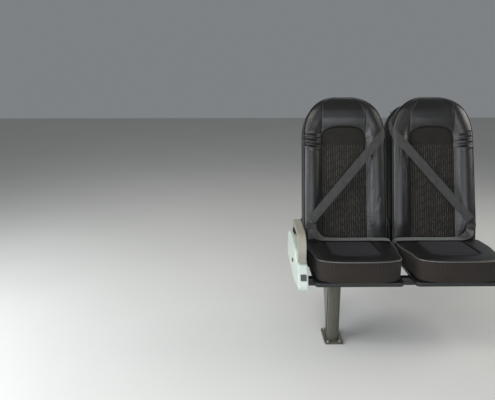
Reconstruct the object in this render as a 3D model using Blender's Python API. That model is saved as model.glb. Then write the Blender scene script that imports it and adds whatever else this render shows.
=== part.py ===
# Coach passenger double seat: two reclining seats on one pedestal leg and a wall bracket.
# Metres, +Z up. A passenger looks along -Y, the aisle is on -X and the window on +X.
# The origin is the centre of the floor shoe's underside.
import math

import bmesh
import bpy
from mathutils import Vector

# Clearances
seat_gap = 0.0003  # between pieces that touch
pin_gap = 0.0004  # round a pin
cut_overrun = 0.02  # how far a cutter passes the face it cuts

# Seat layout
between_backs = 0.0184  # between the hinge arms of the two backs
aisle_seat_x = 0.095  # aisle seat's centre from the leg's centre
lean = math.radians(18)  # of the upright back
pivot_y = 0.3016
pivot_z = 0.3779

# Back
back_bottom = 0.020  # heights along the back, from its pivot
back_shoulder = 0.600
back_top = 0.826
back_half_foot = 0.2265
back_shoulder_taper = 0.005  # lost from the half width between foot and shoulder
back_front = 0.060  # insert's surface ahead of the pivot
back_rear = 0.030  # rear face behind the pivot
back_middle = 0.012  # where the top edge runs, ahead of the pivot
top_round_start = 0.735
crown_power = 2.25  # squareness of the arched top
bolster_height = 0.036
bolster_foot_height = 0.008
bolster_full_at = 0.150
bolster_fade_from = 0.560
bolster_fade_to = 0.710
bolster_head_share = 0.35  # of its height that a bolster keeps beside the head
head_swell = 0.030
head_low = 0.600
head_full_at = 0.705
# Columns: share of the half width, share of the bolster's height, share of the head's swell
front_shares = (
    (0.00, 0.00, 1.00),
    (0.28, 0.00, 0.98),
    (0.50, 0.02, 0.90),
    (0.57, 0.18, 0.82),
    (0.66, 0.72, 0.68),
    (0.78, 1.00, 0.52),
    (0.90, 0.90, 0.28),
    (0.975, 0.52, 0.08),
)
# Columns: share of the half width, share of the thickness from front to rear
rear_shares = ((1.00, 0.22), (1.00, 0.70), (0.97, 0.93), (0.88, 1.00), (0.45, 1.00))
low_steps = 9
crown_steps = 9
crown_end_share = 0.965  # the crown's last section, as a share of its quarter turn

# Insert panel of the back and of the cushion
insert_half = 0.120
insert_side_top = 0.588  # where the arch leaves the back's seams
insert_arch_rise = 0.064
insert_arch_power = 2.6
insert_arch_steps = 14
insert_depth = 0.014

# Cushion
cushion_front = -0.165  # middle of its bowed front edge
cushion_corner_y = -0.075  # where the side turns into the front
cushion_full_y = 0.120  # behind this its sides are straight
cushion_rear = 0.232
cushion_rear_corner = 0.020
cushion_front_top = 0.482
cushion_rear_top = 0.446
cushion_bottom = 0.367
cushion_half_front = 0.205
cushion_side_overhang = 0.0005  # past the back's foot
cushion_front_power = 3.0  # squareness of the rounded front
cushion_side_steps = 5
cushion_front_steps = 8
cushion_insert_rear = 0.185
cushion_insert_front = -0.028
cushion_insert_depth = 0.012
# Levels from the underside up to the middle: share of the height, share of the plan
cushion_level_shares = (
    (0.000, 0.940),
    (0.050, 0.985),
    (0.300, 1.000),
    (0.920, 1.000),
    (0.955, 0.992),
    (0.985, 0.960),
    (1.000, 0.880),
    (0.985, 0.640),
    (0.980, 0.300),
)

# Steel frame
beam_size = 0.040
beam_wall = 0.003
beam_top = 0.3464
front_beam_y = -0.025
rear_beam_y = 0.2122
pan_inset = 0.0145  # of the pan's side from the back's foot
pan_front = -0.150
pan_rear = 0.225
pan_corner = 0.020
pan_edge = 0.003
arm_thickness = 0.004
arm_top = 0.160
arm_half_width = 0.020
plate_thickness = 0.005
plate_clearance = 0.0080  # between a hinge arm and its side plate
centre_plate_thickness = 0.008
weld_depth_share = 0.5  # of a hinge arm that the torsion tube enters
plate_radius = 0.034
plate_front = -0.075
plate_bottom = 0.300
plate_rise = 0.016  # of the side plates' top above the beams
pin_radius = 0.008
pin_end = 0.0006  # left between the pins inside the centre plate
torsion_radius = 0.012
round_steps = 24
plate_corner_share = 0.5  # of the pivot's radius

# Leg and floor shoe
leg_width = 0.060
leg_front = -0.048
leg_foot_depth = 0.088
leg_head_depth = 0.274
leg_front_round = 0.026
leg_rear_round = 0.008
leg_spread_power = 1.5
leg_steps = 7
leg_rib_depth = 0.006
leg_rib_width = 0.022
leg_rib_round_share = 0.98
shoe_width = 0.094
shoe_depth = 0.150
shoe_height = 0.012
shoe_corner = 0.012
shoe_edge = 0.003

# Wall bracket
bracket_reach = 0.038
bracket_front = -0.050
bracket_rear = 0.230
bracket_thickness = 0.006
bracket_drop = 0.050
bracket_top = 0.352

# Armrest
armrest_width = 0.038
armrest_clearance = 0.0102  # between the armrest and the side plate
armrest_rear = 0.187
armrest_pivot_y = 0.165
armrest_front = -0.125
armrest_top = 0.588
armrest_end = 0.462
armrest_rear_round = 0.036
armrest_front_round = 0.085
armrest_pad_thickness = 0.020
armrest_core_thickness = 0.012
armrest_core_width = 0.026
armrest_boss_radius = 0.022
armrest_pivot_z = 0.528
armrest_pin_radius = 0.007
armrest_lug_radius = 0.020
armrest_edge = 0.006
armrest_pad_start = 0.0226  # of the pad's rear end above the pin

# Aisle cover
cover_width = 0.0582
cover_wall = 0.0035
cover_bottom = 0.336
cover_ledge = 0.500
cover_front = -0.165
cover_rear = 0.352
cover_taper = 0.012  # how far the outer side comes in at the front
cover_round = 0.010
cover_round_share = 0.45  # the most of a section's height that its corners take
cover_hollow_round_share = 0.6
cover_end_steps = 2  # sections at each end that stay solid
# Columns: share of the length, share of the height at the top, at the bottom, share of the taper
cover_shares = (
    (0.000, 0.070, 0.030, 1.00),
    (0.012, 0.110, 0.000, 0.96),
    (0.091, 0.677, 0.000, 0.60),
    (0.110, 0.705, 0.000, 0.50),
    (0.150, 0.705, 0.000, 0.34),
    (0.180, 0.800, 0.000, 0.22),
    (0.205, 0.910, 0.000, 0.12),
    (0.235, 0.980, 0.000, 0.05),
    (0.280, 1.000, 0.000, 0.00),
    (0.700, 1.000, 0.000, 0.00),
    (0.820, 0.960, 0.000, 0.00),
    (0.910, 0.860, 0.000, 0.05),
    (0.965, 0.720, 0.000, 0.20),
    (0.990, 0.550, 0.040, 0.50),
    (1.000, 0.420, 0.120, 0.80),
)
cover_slope_steps = (1, 2)  # the two sections that the blank plate's slope lies between
blank_width = 0.028
blank_height = 0.031
blank_thickness = 0.0016
blank_place_share = 0.42
button_radius = 0.010
button_height = 0.004
button_y = 0.020
button_z = 0.420

# Belts
webbing_width = 0.047
webbing_thickness = 0.0018
guide_low = 0.672
guide_high = 0.786
guide_width = 0.030  # of the guide's part behind the back
guide_overhang = 0.016  # of the guide past the back's curved edge
guide_depth = 0.030
guide_top_depth_share = 0.60  # of its depth that the guide has at its top
# Along the guide from its foot: share of its height, share of its width
guide_shares = (
    (0.00, 0.80),
    (0.05, 0.95),
    (0.14, 1.00),
    (0.32, 1.00),
    (0.50, 1.00),
    (0.68, 1.00),
    (0.84, 0.95),
    (0.94, 0.80),
    (1.00, 0.50),
)
retractor_low = 0.030
retractor_high = 0.118
retractor_width = 0.050
retractor_depth = 0.050
retractor_round_share = 0.25
retractor_overhang = 0.0100  # past the back's foot
riser_overhang = 0.0085  # past the back's foot
belt_clearance = 0.0028
shoulder_start_z = 0.568  # height where the diagonal leaves the inner bolster
shoulder_steps = 30
band_shares = (1.0, 0.5, 0.0, -0.5, -1.0)  # places across the webbing
# How the clearance under the webbing is split between sideways and forwards, round the bolster
clearance_turn_shares = ((0.0, 1.0), (0.5, 0.87), (0.87, 0.5))
band_side_share = 0.2  # sideways share of the direction that the webbing's face looks in
lap_turn_rise_share = 0.9
lap_turn_side_share = 0.1
lap_top_share = 0.95  # of the webbing's width at the tongue
lap_turn_reach_share = 0.85
lap_turn_back_share = 0.2
lap_flat_reach_share = 2.2
lap_edge_lean_share = 0.6
lap_wall_lean_share = 0.2
buckle_inset = 0.0405  # of the buckle's middle from the back's edge
buckle_width = 0.044
buckle_length = 0.060
buckle_thickness = 0.017
buckle_round_share = 0.5
buckle_tilt = math.radians(-6)
buckle_foot_y = 0.2300
buckle_foot_z = 0.4515
stalk_width = 0.030
stalk_thickness = 0.0022
stalk_round_share = 0.25
tongue_width = 0.054
tongue_thickness = 0.0025
tongue_reach = 0.024
tongue_slot = 0.006
tongue_slot_round_share = 0.33
lap_y = 0.1985

# Rear shell and magazine pocket
shell_clearance = 0.0050  # between the shell and the riser's webbing
shell_corner_share = 0.33  # of the shell's half width
shell_low = 0.050
shell_high = 0.712
shell_thickness = 0.006
shell_bevel = 0.0025
pocket_inset = 0.033  # of the pocket's side from the shell's
pocket_low = 0.170
pocket_high = 0.395
pocket_reach = 0.034
pocket_foot_reach = 0.014
pocket_wall = 0.0030

# Derived places
buckle_u = buckle_inset - back_half_foot
back_half_shoulder = back_half_foot - back_shoulder_taper
pan_half = back_half_foot - pan_inset
arm_inner = back_half_foot + seat_gap
arm_outer = arm_inner + arm_thickness
seat_spacing = 2 * arm_outer + between_backs
seats = (
    {"name": "aisle", "x": aisle_seat_x, "inner": 1},
    {"name": "window", "x": aisle_seat_x + seat_spacing, "inner": -1},
)
cushion_half_rear = back_half_foot + cushion_side_overhang
riser_outer = back_half_foot + riser_overhang
retractor_outer = back_half_foot + retractor_overhang
shell_half = riser_outer - webbing_width - shell_clearance
pocket_half = shell_half - pocket_inset
aisle_plate_inner = aisle_seat_x - arm_outer - plate_clearance
aisle_plate_outer = aisle_plate_inner - plate_thickness
wall_plate_inner = aisle_seat_x + seat_spacing + arm_outer + plate_clearance
wall_plate_outer = wall_plate_inner + plate_thickness
centre_x = aisle_seat_x + seat_spacing / 2
cover_inner = aisle_plate_outer - seat_gap
cover_outer = aisle_plate_outer - cover_width
armrest_x = aisle_plate_outer - armrest_clearance - armrest_width / 2
wall_face_x = wall_plate_outer + bracket_reach
beam_bottom = beam_top - beam_size


def clear_scene():
    for old in list(bpy.data.objects):
        bpy.data.objects.remove(old, do_unlink=True)


def finish(name, colour, roughness, metallic=0.0):
    made = bpy.data.materials.new(name)
    made.use_nodes = True
    shader = made.node_tree.nodes["Principled BSDF"]
    shader.inputs["Base Color"].default_value = (*colour, 1.0)
    shader.inputs["Roughness"].default_value = roughness
    shader.inputs["Metallic"].default_value = metallic
    made.diffuse_color = (*colour, 1.0)
    return made


def add_object(name, bm, material=None, parent=None, smooth=True, helper=False):
    bmesh.ops.recalc_face_normals(bm, faces=bm.faces)
    mesh = bpy.data.meshes.new(name)
    bm.to_mesh(mesh)
    bm.free()
    if smooth:
        mesh.shade_smooth()
        mesh.set_sharp_from_angle(angle=math.radians(35))
    obj = bpy.data.objects.new(name, mesh)
    bpy.context.scene.collection.objects.link(obj)
    if material:
        mesh.materials.append(material)
    obj.parent = parent
    if helper:
        obj.hide_render = True
        obj.display_type = "WIRE"
    return obj


def loft(rings):
    # A closed body through rings of equal length, with a flat cap at each end
    bm = bmesh.new()
    loops = [[bm.verts.new(point) for point in ring] for ring in rings]
    count = len(loops[0])
    for lower, upper in zip(loops, loops[1:]):
        for i in range(count):
            j = (i + 1) % count
            bm.faces.new((lower[i], lower[j], upper[j], upper[i]))
    bm.faces.new(reversed(loops[0]))
    bm.faces.new(loops[-1])
    return bm


def prism(outline, low, high, place):
    # An outline of (a, b) pairs, extruded from low to high; place turns (a, b, c) into a point
    return loft([[place(a, b, low) for a, b in outline], [place(a, b, high) for a, b in outline]])


def along_x(a, b, c):
    return (c, a, b)


def along_y(a, b, c):
    return (a, c, b)


def along_z(a, b, c):
    return (a, b, c)


def arc(centre, radius, start, end, steps):
    # Points of an arc, with its angles in degrees
    found = []
    for i in range(steps + 1):
        angle = math.radians(start + (end - start) * i / steps)
        found.append((centre[0] + radius * math.cos(angle), centre[1] + radius * math.sin(angle)))
    return found


def circle(centre, radius, steps=round_steps):
    return arc(centre, radius, 0, 360 - 360 / steps, steps - 1)


def rounded_box(low, high, radius, steps=3):
    # A rectangle from low to high with rounded corners
    (x0, y0), (x1, y1) = low, high
    found = []
    corners = ((x1 - radius, y0 + radius, -90), (x1 - radius, y1 - radius, 0))
    corners += ((x0 + radius, y1 - radius, 90), (x0 + radius, y0 + radius, 180))
    for x, y, start in corners:
        found += arc((x, y), radius, start, start + 90, steps)
    return found


def boolean(obj, other, operation):
    modifier = obj.modifiers.new(operation.lower(), "BOOLEAN")
    modifier.operation = operation
    modifier.object = other


def bevel(obj, width, segments=2):
    modifier = obj.modifiers.new("bevel", "BEVEL")
    modifier.width = width
    modifier.segments = segments
    modifier.limit_method = "ANGLE"
    modifier.angle_limit = math.radians(40)


def smooth_step(value, low, high):
    share = min(max((value - low) / (high - low), 0.0), 1.0)
    return share * share * (3 - 2 * share)


# Back form: widths, bolsters and swell at a height along the back

def crown_turn(z):
    return min(max((z - back_shoulder) / (back_top - back_shoulder), 0.0), 1.0)


def half_width(z):
    low = min(z, back_shoulder)
    width = back_half_foot + (back_half_shoulder - back_half_foot) * low / back_shoulder
    return width * (1 - crown_turn(z) ** crown_power) ** (1 / crown_power)


def bolster(z):
    grown = smooth_step(z, back_bottom, bolster_full_at)
    kept = 1 - (1 - bolster_head_share) * smooth_step(z, bolster_fade_from, bolster_fade_to)
    return (bolster_foot_height + (bolster_height - bolster_foot_height) * grown) * kept


def swell(z):
    return head_swell * smooth_step(z, head_low, head_full_at)


def thinning(z):
    turn = min(max((z - top_round_start) / (back_top - top_round_start), 0.0), 1.0)
    return math.sqrt(max(1 - turn * turn, 0.0))


def squeezed(y, z):
    return -back_middle + (y + back_middle) * thinning(z)


def front_point(shares, z):
    across, raised, swollen = shares
    y = -back_front - raised * bolster(z) - swollen * swell(z)
    return (across * half_width(z), squeezed(y, z), z)


def rear_point(shares, z):
    across, deep = shares
    y = -back_front + deep * (back_front + back_rear)
    return (across * half_width(z), squeezed(y, z), z)


def back_ring(z):
    right = [front_point(s, z) for s in front_shares] + [rear_point(s, z) for s in rear_shares]
    middle = (0.0, squeezed(back_rear, z), z)
    left = [(-x, y, up) for x, y, up in reversed(right[1:])]
    return right + [middle] + left


def back_heights():
    low = [back_bottom + (back_shoulder - back_bottom) * i / low_steps for i in range(low_steps)]
    rise = back_top - back_shoulder
    turn = math.pi / 2 * crown_end_share
    crown = [back_shoulder + rise * math.sin(turn * i / crown_steps) for i in range(crown_steps + 1)]
    return low + crown


def arch_outline(half, side_end, rise, foot):
    # A panel's outline with straight sides from foot to side_end and a flat arch past it
    found = [(-half, foot), (half, foot)]
    for i in range(insert_arch_steps + 1):
        turn = math.pi * i / insert_arch_steps
        power = 2 / insert_arch_power
        across = math.copysign(abs(math.cos(turn)) ** power, math.cos(turn))
        found.append((half * across, side_end + rise * abs(math.sin(turn)) ** power))
    return found


# Pieces of one back, in the frame of its pivot

def back_upholstery(name, parent, leather, fabric):
    form = loft([back_ring(z) for z in back_heights()])
    shell = add_object(f"{name}_back_leather", form, leather, parent)
    foot = back_bottom - cut_overrun
    front = -back_front - bolster_height - cut_overrun
    cut = prism(
        arch_outline(insert_half, insert_side_top, insert_arch_rise, foot),
        front,
        -back_front + insert_depth,
        along_y,
    )
    boolean(shell, add_object(f"{name}_insert_cutter", cut, parent=parent, helper=True), "DIFFERENCE")

    form = loft([back_ring(z) for z in back_heights()])
    panel = add_object(f"{name}_back_insert", form, fabric, parent)
    core = prism(
        arch_outline(insert_half - seat_gap, insert_side_top, insert_arch_rise - seat_gap, foot),
        front,
        -back_front + insert_depth - seat_gap,
        along_y,
    )
    boolean(panel, add_object(f"{name}_insert_core", core, parent=parent, helper=True), "INTERSECT")


def back_frame(seat, parent, steel):
    # Two hinge arms, the torsion tube between them and the pivot pins, in one welded piece
    name = seat["name"]
    outline = arc((0, 0), arm_half_width, 180, 360, 10)
    outline += arc((0, arm_top - arm_half_width), arm_half_width, 0, 180, 10)
    body = add_object(
        f"{name}_back_frame",
        prism(outline, arm_inner, arm_outer, along_x),
        steel,
        parent,
    )
    other = prism(outline, -arm_outer, -arm_inner, along_x)
    reach = arm_inner + arm_thickness * weld_depth_share
    tube = prism(circle((0, 0), torsion_radius), -reach, reach, along_x)
    outer_end = arm_outer + plate_clearance + plate_thickness
    inner_end = seat_spacing / 2 - pin_end
    low, high = (-outer_end, inner_end) if seat["inner"] > 0 else (-inner_end, outer_end)
    pin = prism(circle((0, 0), pin_radius), low, high, along_x)
    for label, shape in (("arm", other), ("tube", tube), ("pin", pin)):
        boolean(body, add_object(f"{name}_frame_{label}", shape, parent=parent, helper=True), "UNION")


def rear_shell(name, parent, plastic):
    corner = shell_half * shell_corner_share
    outline = rounded_box((-shell_half, shell_low), (shell_half, shell_high), corner, 5)
    y = back_rear + seat_gap
    panel = add_object(f"{name}_rear_shell", prism(outline, y, y + shell_thickness, along_y), plastic, parent)
    bevel(panel, shell_bevel)


def magazine_pocket(name, parent, plastic):
    # A shallow bin, open at the top, that stands on the rear shell
    seat = back_rear + seat_gap + shell_thickness + seat_gap

    def wedge(half, low, high, near, low_reach, high_reach):
        rings = []
        for z, far in ((low, seat + low_reach), (high, seat + high_reach)):
            rings.append([(-half, near, z), (half, near, z), (half, far, z), (-half, far, z)])
        return loft(rings)

    outer = wedge(pocket_half, pocket_low, pocket_high, seat, pocket_foot_reach, pocket_reach)
    pocket = add_object(f"{name}_magazine_pocket", outer, plastic, parent, smooth=False)
    wall = pocket_wall
    rise = (pocket_reach - pocket_foot_reach) / (pocket_high - pocket_low)
    inner = wedge(
        pocket_half - wall,
        pocket_low + wall,
        pocket_high + cut_overrun,
        seat + wall,
        pocket_foot_reach - wall + rise * wall,
        pocket_reach - wall + rise * cut_overrun,
    )
    boolean(pocket, add_object(f"{name}_pocket_hollow", inner, parent=parent, helper=True), "DIFFERENCE")


def band(rows, thickness, outward):
    # A flat band through rows of points laid across it; outward is roughly its face's direction
    rings = []
    for i, row in enumerate(rows):
        before, after = rows[max(i - 1, 0)], rows[min(i + 1, len(rows) - 1)]
        middle = len(row) // 2
        normal = (row[-1] - row[0]).cross(after[middle] - before[middle]).normalized()
        if normal.dot(outward(row[middle])) < 0:
            normal = -normal
        far = [point + normal * thickness for point in row]
        rings.append(list(row) + list(reversed(far)))
    form = loft(rings)
    bmesh.ops.triangulate(form, faces=form.faces)
    return form


def strip(stations, thickness):
    # A flat band through (centre, half width vector, face normal) stations
    rings = []
    for centre, half, normal in stations:
        out = normal.normalized() * thickness / 2
        rings.append([centre - half - out, centre + half - out, centre + half + out, centre - half + out])
    return loft(rings)


def belt_guide(seat, parent, plastic):
    # Shoulder housing that follows the inner top corner and stands out past the back's edge
    side = seat["inner"]
    rings = []
    for along, wide in guide_shares:
        z = guide_low + (guide_high - guide_low) * along
        outer, inner = half_width(z) + guide_overhang, half_width(z) - guide_width
        middle, half = (outer + inner) / 2, (outer - inner) / 2 * wide
        near = squeezed(back_rear, z) + seat_gap
        far = near + guide_depth * (1 - (1 - guide_top_depth_share) * along)
        corners = ((middle - half, near), (middle + half, near), (middle + half, far), (middle - half, far))
        rings.append([(side * u, y, z) for u, y in corners])
    body = add_object(f"{seat['name']}_belt_guide", loft(rings), plastic, parent)
    bevel(body, shell_bevel)


def belt_retractor(seat, parent, plastic):
    side = seat["inner"]
    y = back_rear + seat_gap
    corner = retractor_depth * retractor_round_share
    outline = rounded_box((y, retractor_low), (y + retractor_depth, retractor_high), corner, 4)
    shape = prism(outline, side * (retractor_outer - retractor_width), side * retractor_outer, along_x)
    body = add_object(f"{seat['name']}_belt_retractor", shape, plastic, parent)
    bevel(body, shell_bevel)


def belt_riser(seat, parent, webbing):
    # Webbing from the retractor up to the guide, flat on the rear of the back
    side = seat["inner"]
    y = back_rear + seat_gap + webbing_thickness / 2
    u = side * (riser_outer - webbing_width / 2)
    half = Vector((webbing_width / 2, 0, 0))
    low, high = retractor_high + seat_gap, guide_low - seat_gap
    stations = [(Vector((u, y, z)), half, Vector((0, 1, 0))) for z in (low, (low + high) / 2, high)]
    add_object(f"{seat['name']}_belt_riser", strip(stations, webbing_thickness), webbing, parent, smooth=False)


def taut_points(z):
    # Half of the line that a taut band follows round one of the back's sections, from its middle to its rear
    h = half_width(z)
    clear = belt_clearance
    points = []
    for shares, out in zip(front_shares[-3:], clearance_turn_shares):
        u, y, _ = front_point(shares, z)
        points.append((u + clear * out[0], y - clear * out[1]))
    side_y = rear_point(rear_shares[0], z)[1]
    points += [(h + clear, side_y), (h + clear, back_rear)]
    return [(0.0, points[0][1])] + points


def taut_section(z):
    # The same line at any height, between the two of the back's sections that lie next to it
    heights = back_heights()
    for low, high in zip(heights, heights[1:]):
        if low <= z <= high:
            share = (z - low) / (high - low)
            pairs = zip(taut_points(low), taut_points(high))
            return [(u0 + (u1 - u0) * share, y0 + (y1 - y0) * share) for (u0, y0), (u1, y1) in pairs]
    return taut_points(z)


def on_section(along, z):
    # The point so far along the taut line from the middle of the back, at a height
    points = taut_section(z)
    left = along
    for (u0, y0), (u1, y1) in zip(points, points[1:]):
        length = math.hypot(u1 - u0, y1 - y0)
        if left <= length or (u1, y1) == points[-1]:
            share = min(left / length, 1.0)
            return Vector((u0 + (u1 - u0) * share, y0 + (y1 - y0) * share, z))
        left -= length


def section_length(z):
    points = taut_section(z)
    return sum(math.hypot(u1 - u0, y1 - y0) for (u0, y0), (u1, y1) in zip(points, points[1:]))


def tongue_slot_local():
    # Where the webbing meets the tongue, in the frame of the back's pivot
    place = tongue_place(buckle_length + tongue_reach - tongue_slot)
    y, z = place.y - pivot_y, place.z - pivot_z
    y += tongue_thickness + seat_gap
    return y * math.cos(lean) - z * math.sin(lean), y * math.sin(lean) + z * math.cos(lean)


def shoulder_rows():
    # Rows across the diagonal: round the back's inner edge, then straight from the bolster to the hip
    reach = webbing_width / 2
    crest_z = shoulder_start_z
    crest = front_shares[-3][0] * half_width(crest_z)
    end_y, end_z = tongue_slot_local()
    end_z += reach
    end = Vector((buckle_u, end_y, end_z))
    along = Vector((end.x - crest, 0, end.z - crest_z)).normalized()
    across = Vector((along.z, 0, -along.x)) * reach
    rise = abs(along.z / along.x)
    reach_back = section_length(guide_low) - reach - crest
    rows = []
    for i in range(shoulder_steps + 1):
        step = reach_back + (across.x - reach_back) * i / shoulder_steps
        middle = Vector((crest + step, 0, crest_z + step * rise))
        row = [middle + across * share for share in band_shares]
        rows.append([on_section(point.x, point.z) for point in row])
    rows.append([end + across * share for share in band_shares])
    return rows


def shoulder_belt(seat, parent, webbing):
    side = seat["inner"]
    rows = [[Vector((side * p.x, p.y, p.z)) for p in row] for row in shoulder_rows()]
    shape = band(rows, webbing_thickness, lambda p: Vector((p.x * band_side_share, p.y, 0)))
    add_object(f"{seat['name']}_shoulder_belt", shape, webbing, parent, smooth=False)


# Pieces of one cushion, in world places

def cushion_top(y):
    run = (y - cushion_front) / (cushion_rear - cushion_front)
    return cushion_front_top + (cushion_rear_top - cushion_front_top) * run


def cushion_plan():
    # Half of the cushion's outline from the middle of its front edge round to its rear corner
    depth = cushion_corner_y - cushion_front
    power = 2 / cushion_front_power
    found = []
    for i in range(cushion_front_steps + 1):
        turn = math.pi / 2 * i / cushion_front_steps
        across = cushion_half_front * math.sin(turn) ** power
        found.append((across, cushion_corner_y - depth * math.cos(turn) ** power))
    end = cushion_rear - cushion_rear_corner
    for i in range(1, cushion_side_steps + 1):
        y = cushion_corner_y + (end - cushion_corner_y) * i / cushion_side_steps
        grown = smooth_step(y, cushion_corner_y, cushion_full_y)
        found.append((cushion_half_front + (cushion_half_rear - cushion_half_front) * grown, y))
    found += arc((cushion_half_rear - cushion_rear_corner, end), cushion_rear_corner, 0, 90, 3)[1:]
    return found


def cushion_ring(seat_x, level):
    # The outline at one level, shrunk towards the cushion's middle; the top slopes to the rear
    height_share, plan_share = level
    middle_y = (cushion_front + cushion_rear) / 2
    ring = []
    half = cushion_plan()
    for across, y in half + [(-x, y) for x, y in reversed(half[1:])]:
        y = middle_y + (y - middle_y) * plan_share
        z = cushion_bottom + (cushion_top(y) - cushion_bottom) * height_share
        ring.append((seat_x + across * plan_share, y, z))
    return ring


def cushion_form(seat_x):
    return loft([cushion_ring(seat_x, level) for level in cushion_level_shares])


def cushion_cutter(seat_x, inset, drop):
    # A panel outline with its arch to the front, from a sloping floor upwards
    rise = insert_arch_rise - inset
    outline = arch_outline(insert_half - inset, -cushion_insert_front, rise, -cushion_insert_rear + inset)
    low = [(seat_x + a, -b, cushion_top(-b) - drop) for a, b in outline]
    high = [(seat_x + a, -b, cushion_front_top + cut_overrun) for a, b in outline]
    return loft([low, high])


def cushion(seat, leather, fabric):
    name, x = seat["name"], seat["x"]
    body = add_object(f"{name}_cushion", cushion_form(x), leather)
    cut = cushion_cutter(x, 0.0, cushion_insert_depth)
    boolean(body, add_object(f"{name}_cushion_cutter", cut, helper=True), "DIFFERENCE")
    panel = add_object(f"{name}_cushion_insert", cushion_form(x), fabric)
    core = cushion_cutter(x, seat_gap, cushion_insert_depth - seat_gap)
    boolean(panel, add_object(f"{name}_cushion_core", core, helper=True), "INTERSECT")


def cushion_pan(seat, steel):
    x, low = seat["x"], beam_top + seat_gap
    outline = rounded_box((x - pan_half, pan_front), (x + pan_half, pan_rear), pan_corner)
    pan = add_object(
        f"{seat['name']}_cushion_pan",
        prism(outline, low, cushion_bottom - seat_gap, along_z),
        steel,
    )
    bevel(pan, pan_edge)


def lap_belt(seat, webbing):
    # Webbing from the tongue, across the cushion's rear and down its inner side
    side, x = seat["inner"], seat["x"]
    reach = webbing_width / 2
    rest_z = cushion_top(lap_y - reach) + webbing_thickness / 2 + seat_gap
    top = tongue_place(buckle_length + tongue_reach - tongue_slot)
    inner_edge = seat_spacing / 2 - centre_plate_thickness / 2
    wall_u = inner_edge - seat_gap - webbing_thickness / 2
    corner_u = cushion_half_rear - reach
    fore = Vector((0, reach, 0))
    flat = Vector((reach, 0, 0))
    front_y = top.y - (tongue_thickness + webbing_thickness) / 2 - seat_gap
    turn = Vector((1, 1, 1)).normalized() * reach
    table = (
        (buckle_u, front_y, top.z, flat * lap_top_share, (0, -1, 0)),
        (
            buckle_u + reach * lap_turn_reach_share,
            lap_y + reach * lap_turn_back_share,
            (top.z + rest_z) / 2,
            turn,
            (lap_turn_side_share, -1, lap_turn_rise_share),
        ),
        (buckle_u + reach * lap_flat_reach_share, lap_y, rest_z, fore, (0, 0, 1)),
        (0.0, lap_y, rest_z, fore, (0, 0, 1)),
        (corner_u, lap_y, rest_z, fore, (0, 0, 1)),
        (cushion_half_rear, lap_y, rest_z - webbing_thickness, fore, (lap_edge_lean_share, 0, 1)),
        (wall_u, lap_y, rest_z - reach, fore, (1, 0, lap_wall_lean_share)),
        (wall_u, lap_y, beam_top + pan_edge, fore, (1, 0, 0)),
    )
    stations = []
    for u, y, z, half, normal in table:
        turned = Vector((side * half.x, half.y, half.z)), Vector((side * normal[0], normal[1], normal[2]))
        stations.append((Vector((x + side * u, y, z)), *turned))
    add_object(f"{seat['name']}_lap_belt", strip(stations, webbing_thickness), webbing, smooth=False)


def tongue_place(reach):
    # A point on the buckle's middle line, so far up it from its foot
    y, z = reach * math.sin(buckle_tilt), reach * math.cos(buckle_tilt)
    return Vector((0, buckle_foot_y - y, buckle_foot_z + z))


def set_on_buckle(obj, seat):
    obj.location = (seat["x"] + seat["inner"] * buckle_u, buckle_foot_y, buckle_foot_z)
    obj.rotation_euler = (buckle_tilt, 0, 0)


def buckle(seat, black, steel):
    # The buckle stands on its webbing stalk at the outer hip, with the tongue pushed in from above
    name = seat["name"]
    half, deep = buckle_width / 2, buckle_thickness / 2
    outline = rounded_box((-half, -deep), (half, deep), deep * buckle_round_share)
    body = add_object(f"{name}_buckle", prism(outline, 0, buckle_length, along_z), black)
    bevel(body, shell_bevel)
    set_on_buckle(body, seat)
    behind = rear_beam_y + beam_size / 2 + seat_gap
    near, far = (-stalk_width / 2, behind), (stalk_width / 2, behind + stalk_thickness)
    outline = rounded_box(near, far, stalk_thickness * stalk_round_share)
    stalk = add_object(
        f"{name}_buckle_stalk",
        prism(outline, beam_top - stalk_width / 2, buckle_foot_z + stalk_thickness, along_z),
        helper=True,
    )
    stalk.location.x = seat["x"] + seat["inner"] * buckle_u
    boolean(body, stalk, "UNION")
    slot_half = tongue_width / 2 - tongue_slot
    low = buckle_length + seat_gap
    outline = rounded_box((-tongue_width / 2, low), (tongue_width / 2, low + tongue_reach), tongue_slot)
    tongue = add_object(
        f"{name}_tongue",
        prism(outline, -tongue_thickness / 2, tongue_thickness / 2, along_y),
        steel,
    )
    set_on_buckle(tongue, seat)
    slot_low = low + tongue_reach - tongue_slot * 2
    corner = tongue_slot * tongue_slot_round_share
    outline = rounded_box((-slot_half, slot_low), (slot_half, slot_low + tongue_slot), corner)
    hole = add_object(f"{name}_tongue_slot", prism(outline, -cut_overrun, cut_overrun, along_y), helper=True)
    set_on_buckle(hole, seat)
    boolean(tongue, hole, "DIFFERENCE")


# Steel frame, leg and wall bracket

def beam(name, y, steel):
    low, high = aisle_plate_inner + seat_gap, wall_plate_inner - seat_gap
    half = beam_size / 2
    middle = beam_top - half
    outline = rounded_box((y - half, middle - half), (y + half, middle + half), beam_wall * 2, 2)
    tube = add_object(name, prism(outline, low, high, along_x), steel)
    inner = half - beam_wall
    outline = rounded_box((y - inner, middle - inner), (y + inner, middle + inner), beam_wall, 2)
    bore = prism(outline, low - cut_overrun, high + cut_overrun, along_x)
    boolean(tube, add_object(f"{name}_bore", bore, helper=True), "DIFFERENCE")


def pivot_hole(plate, name, low, high):
    hole = prism(circle((pivot_y, pivot_z), pin_radius + pin_gap), low, high, along_x)
    boolean(plate, add_object(f"{name}_hole", hole, helper=True), "DIFFERENCE")


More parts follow.
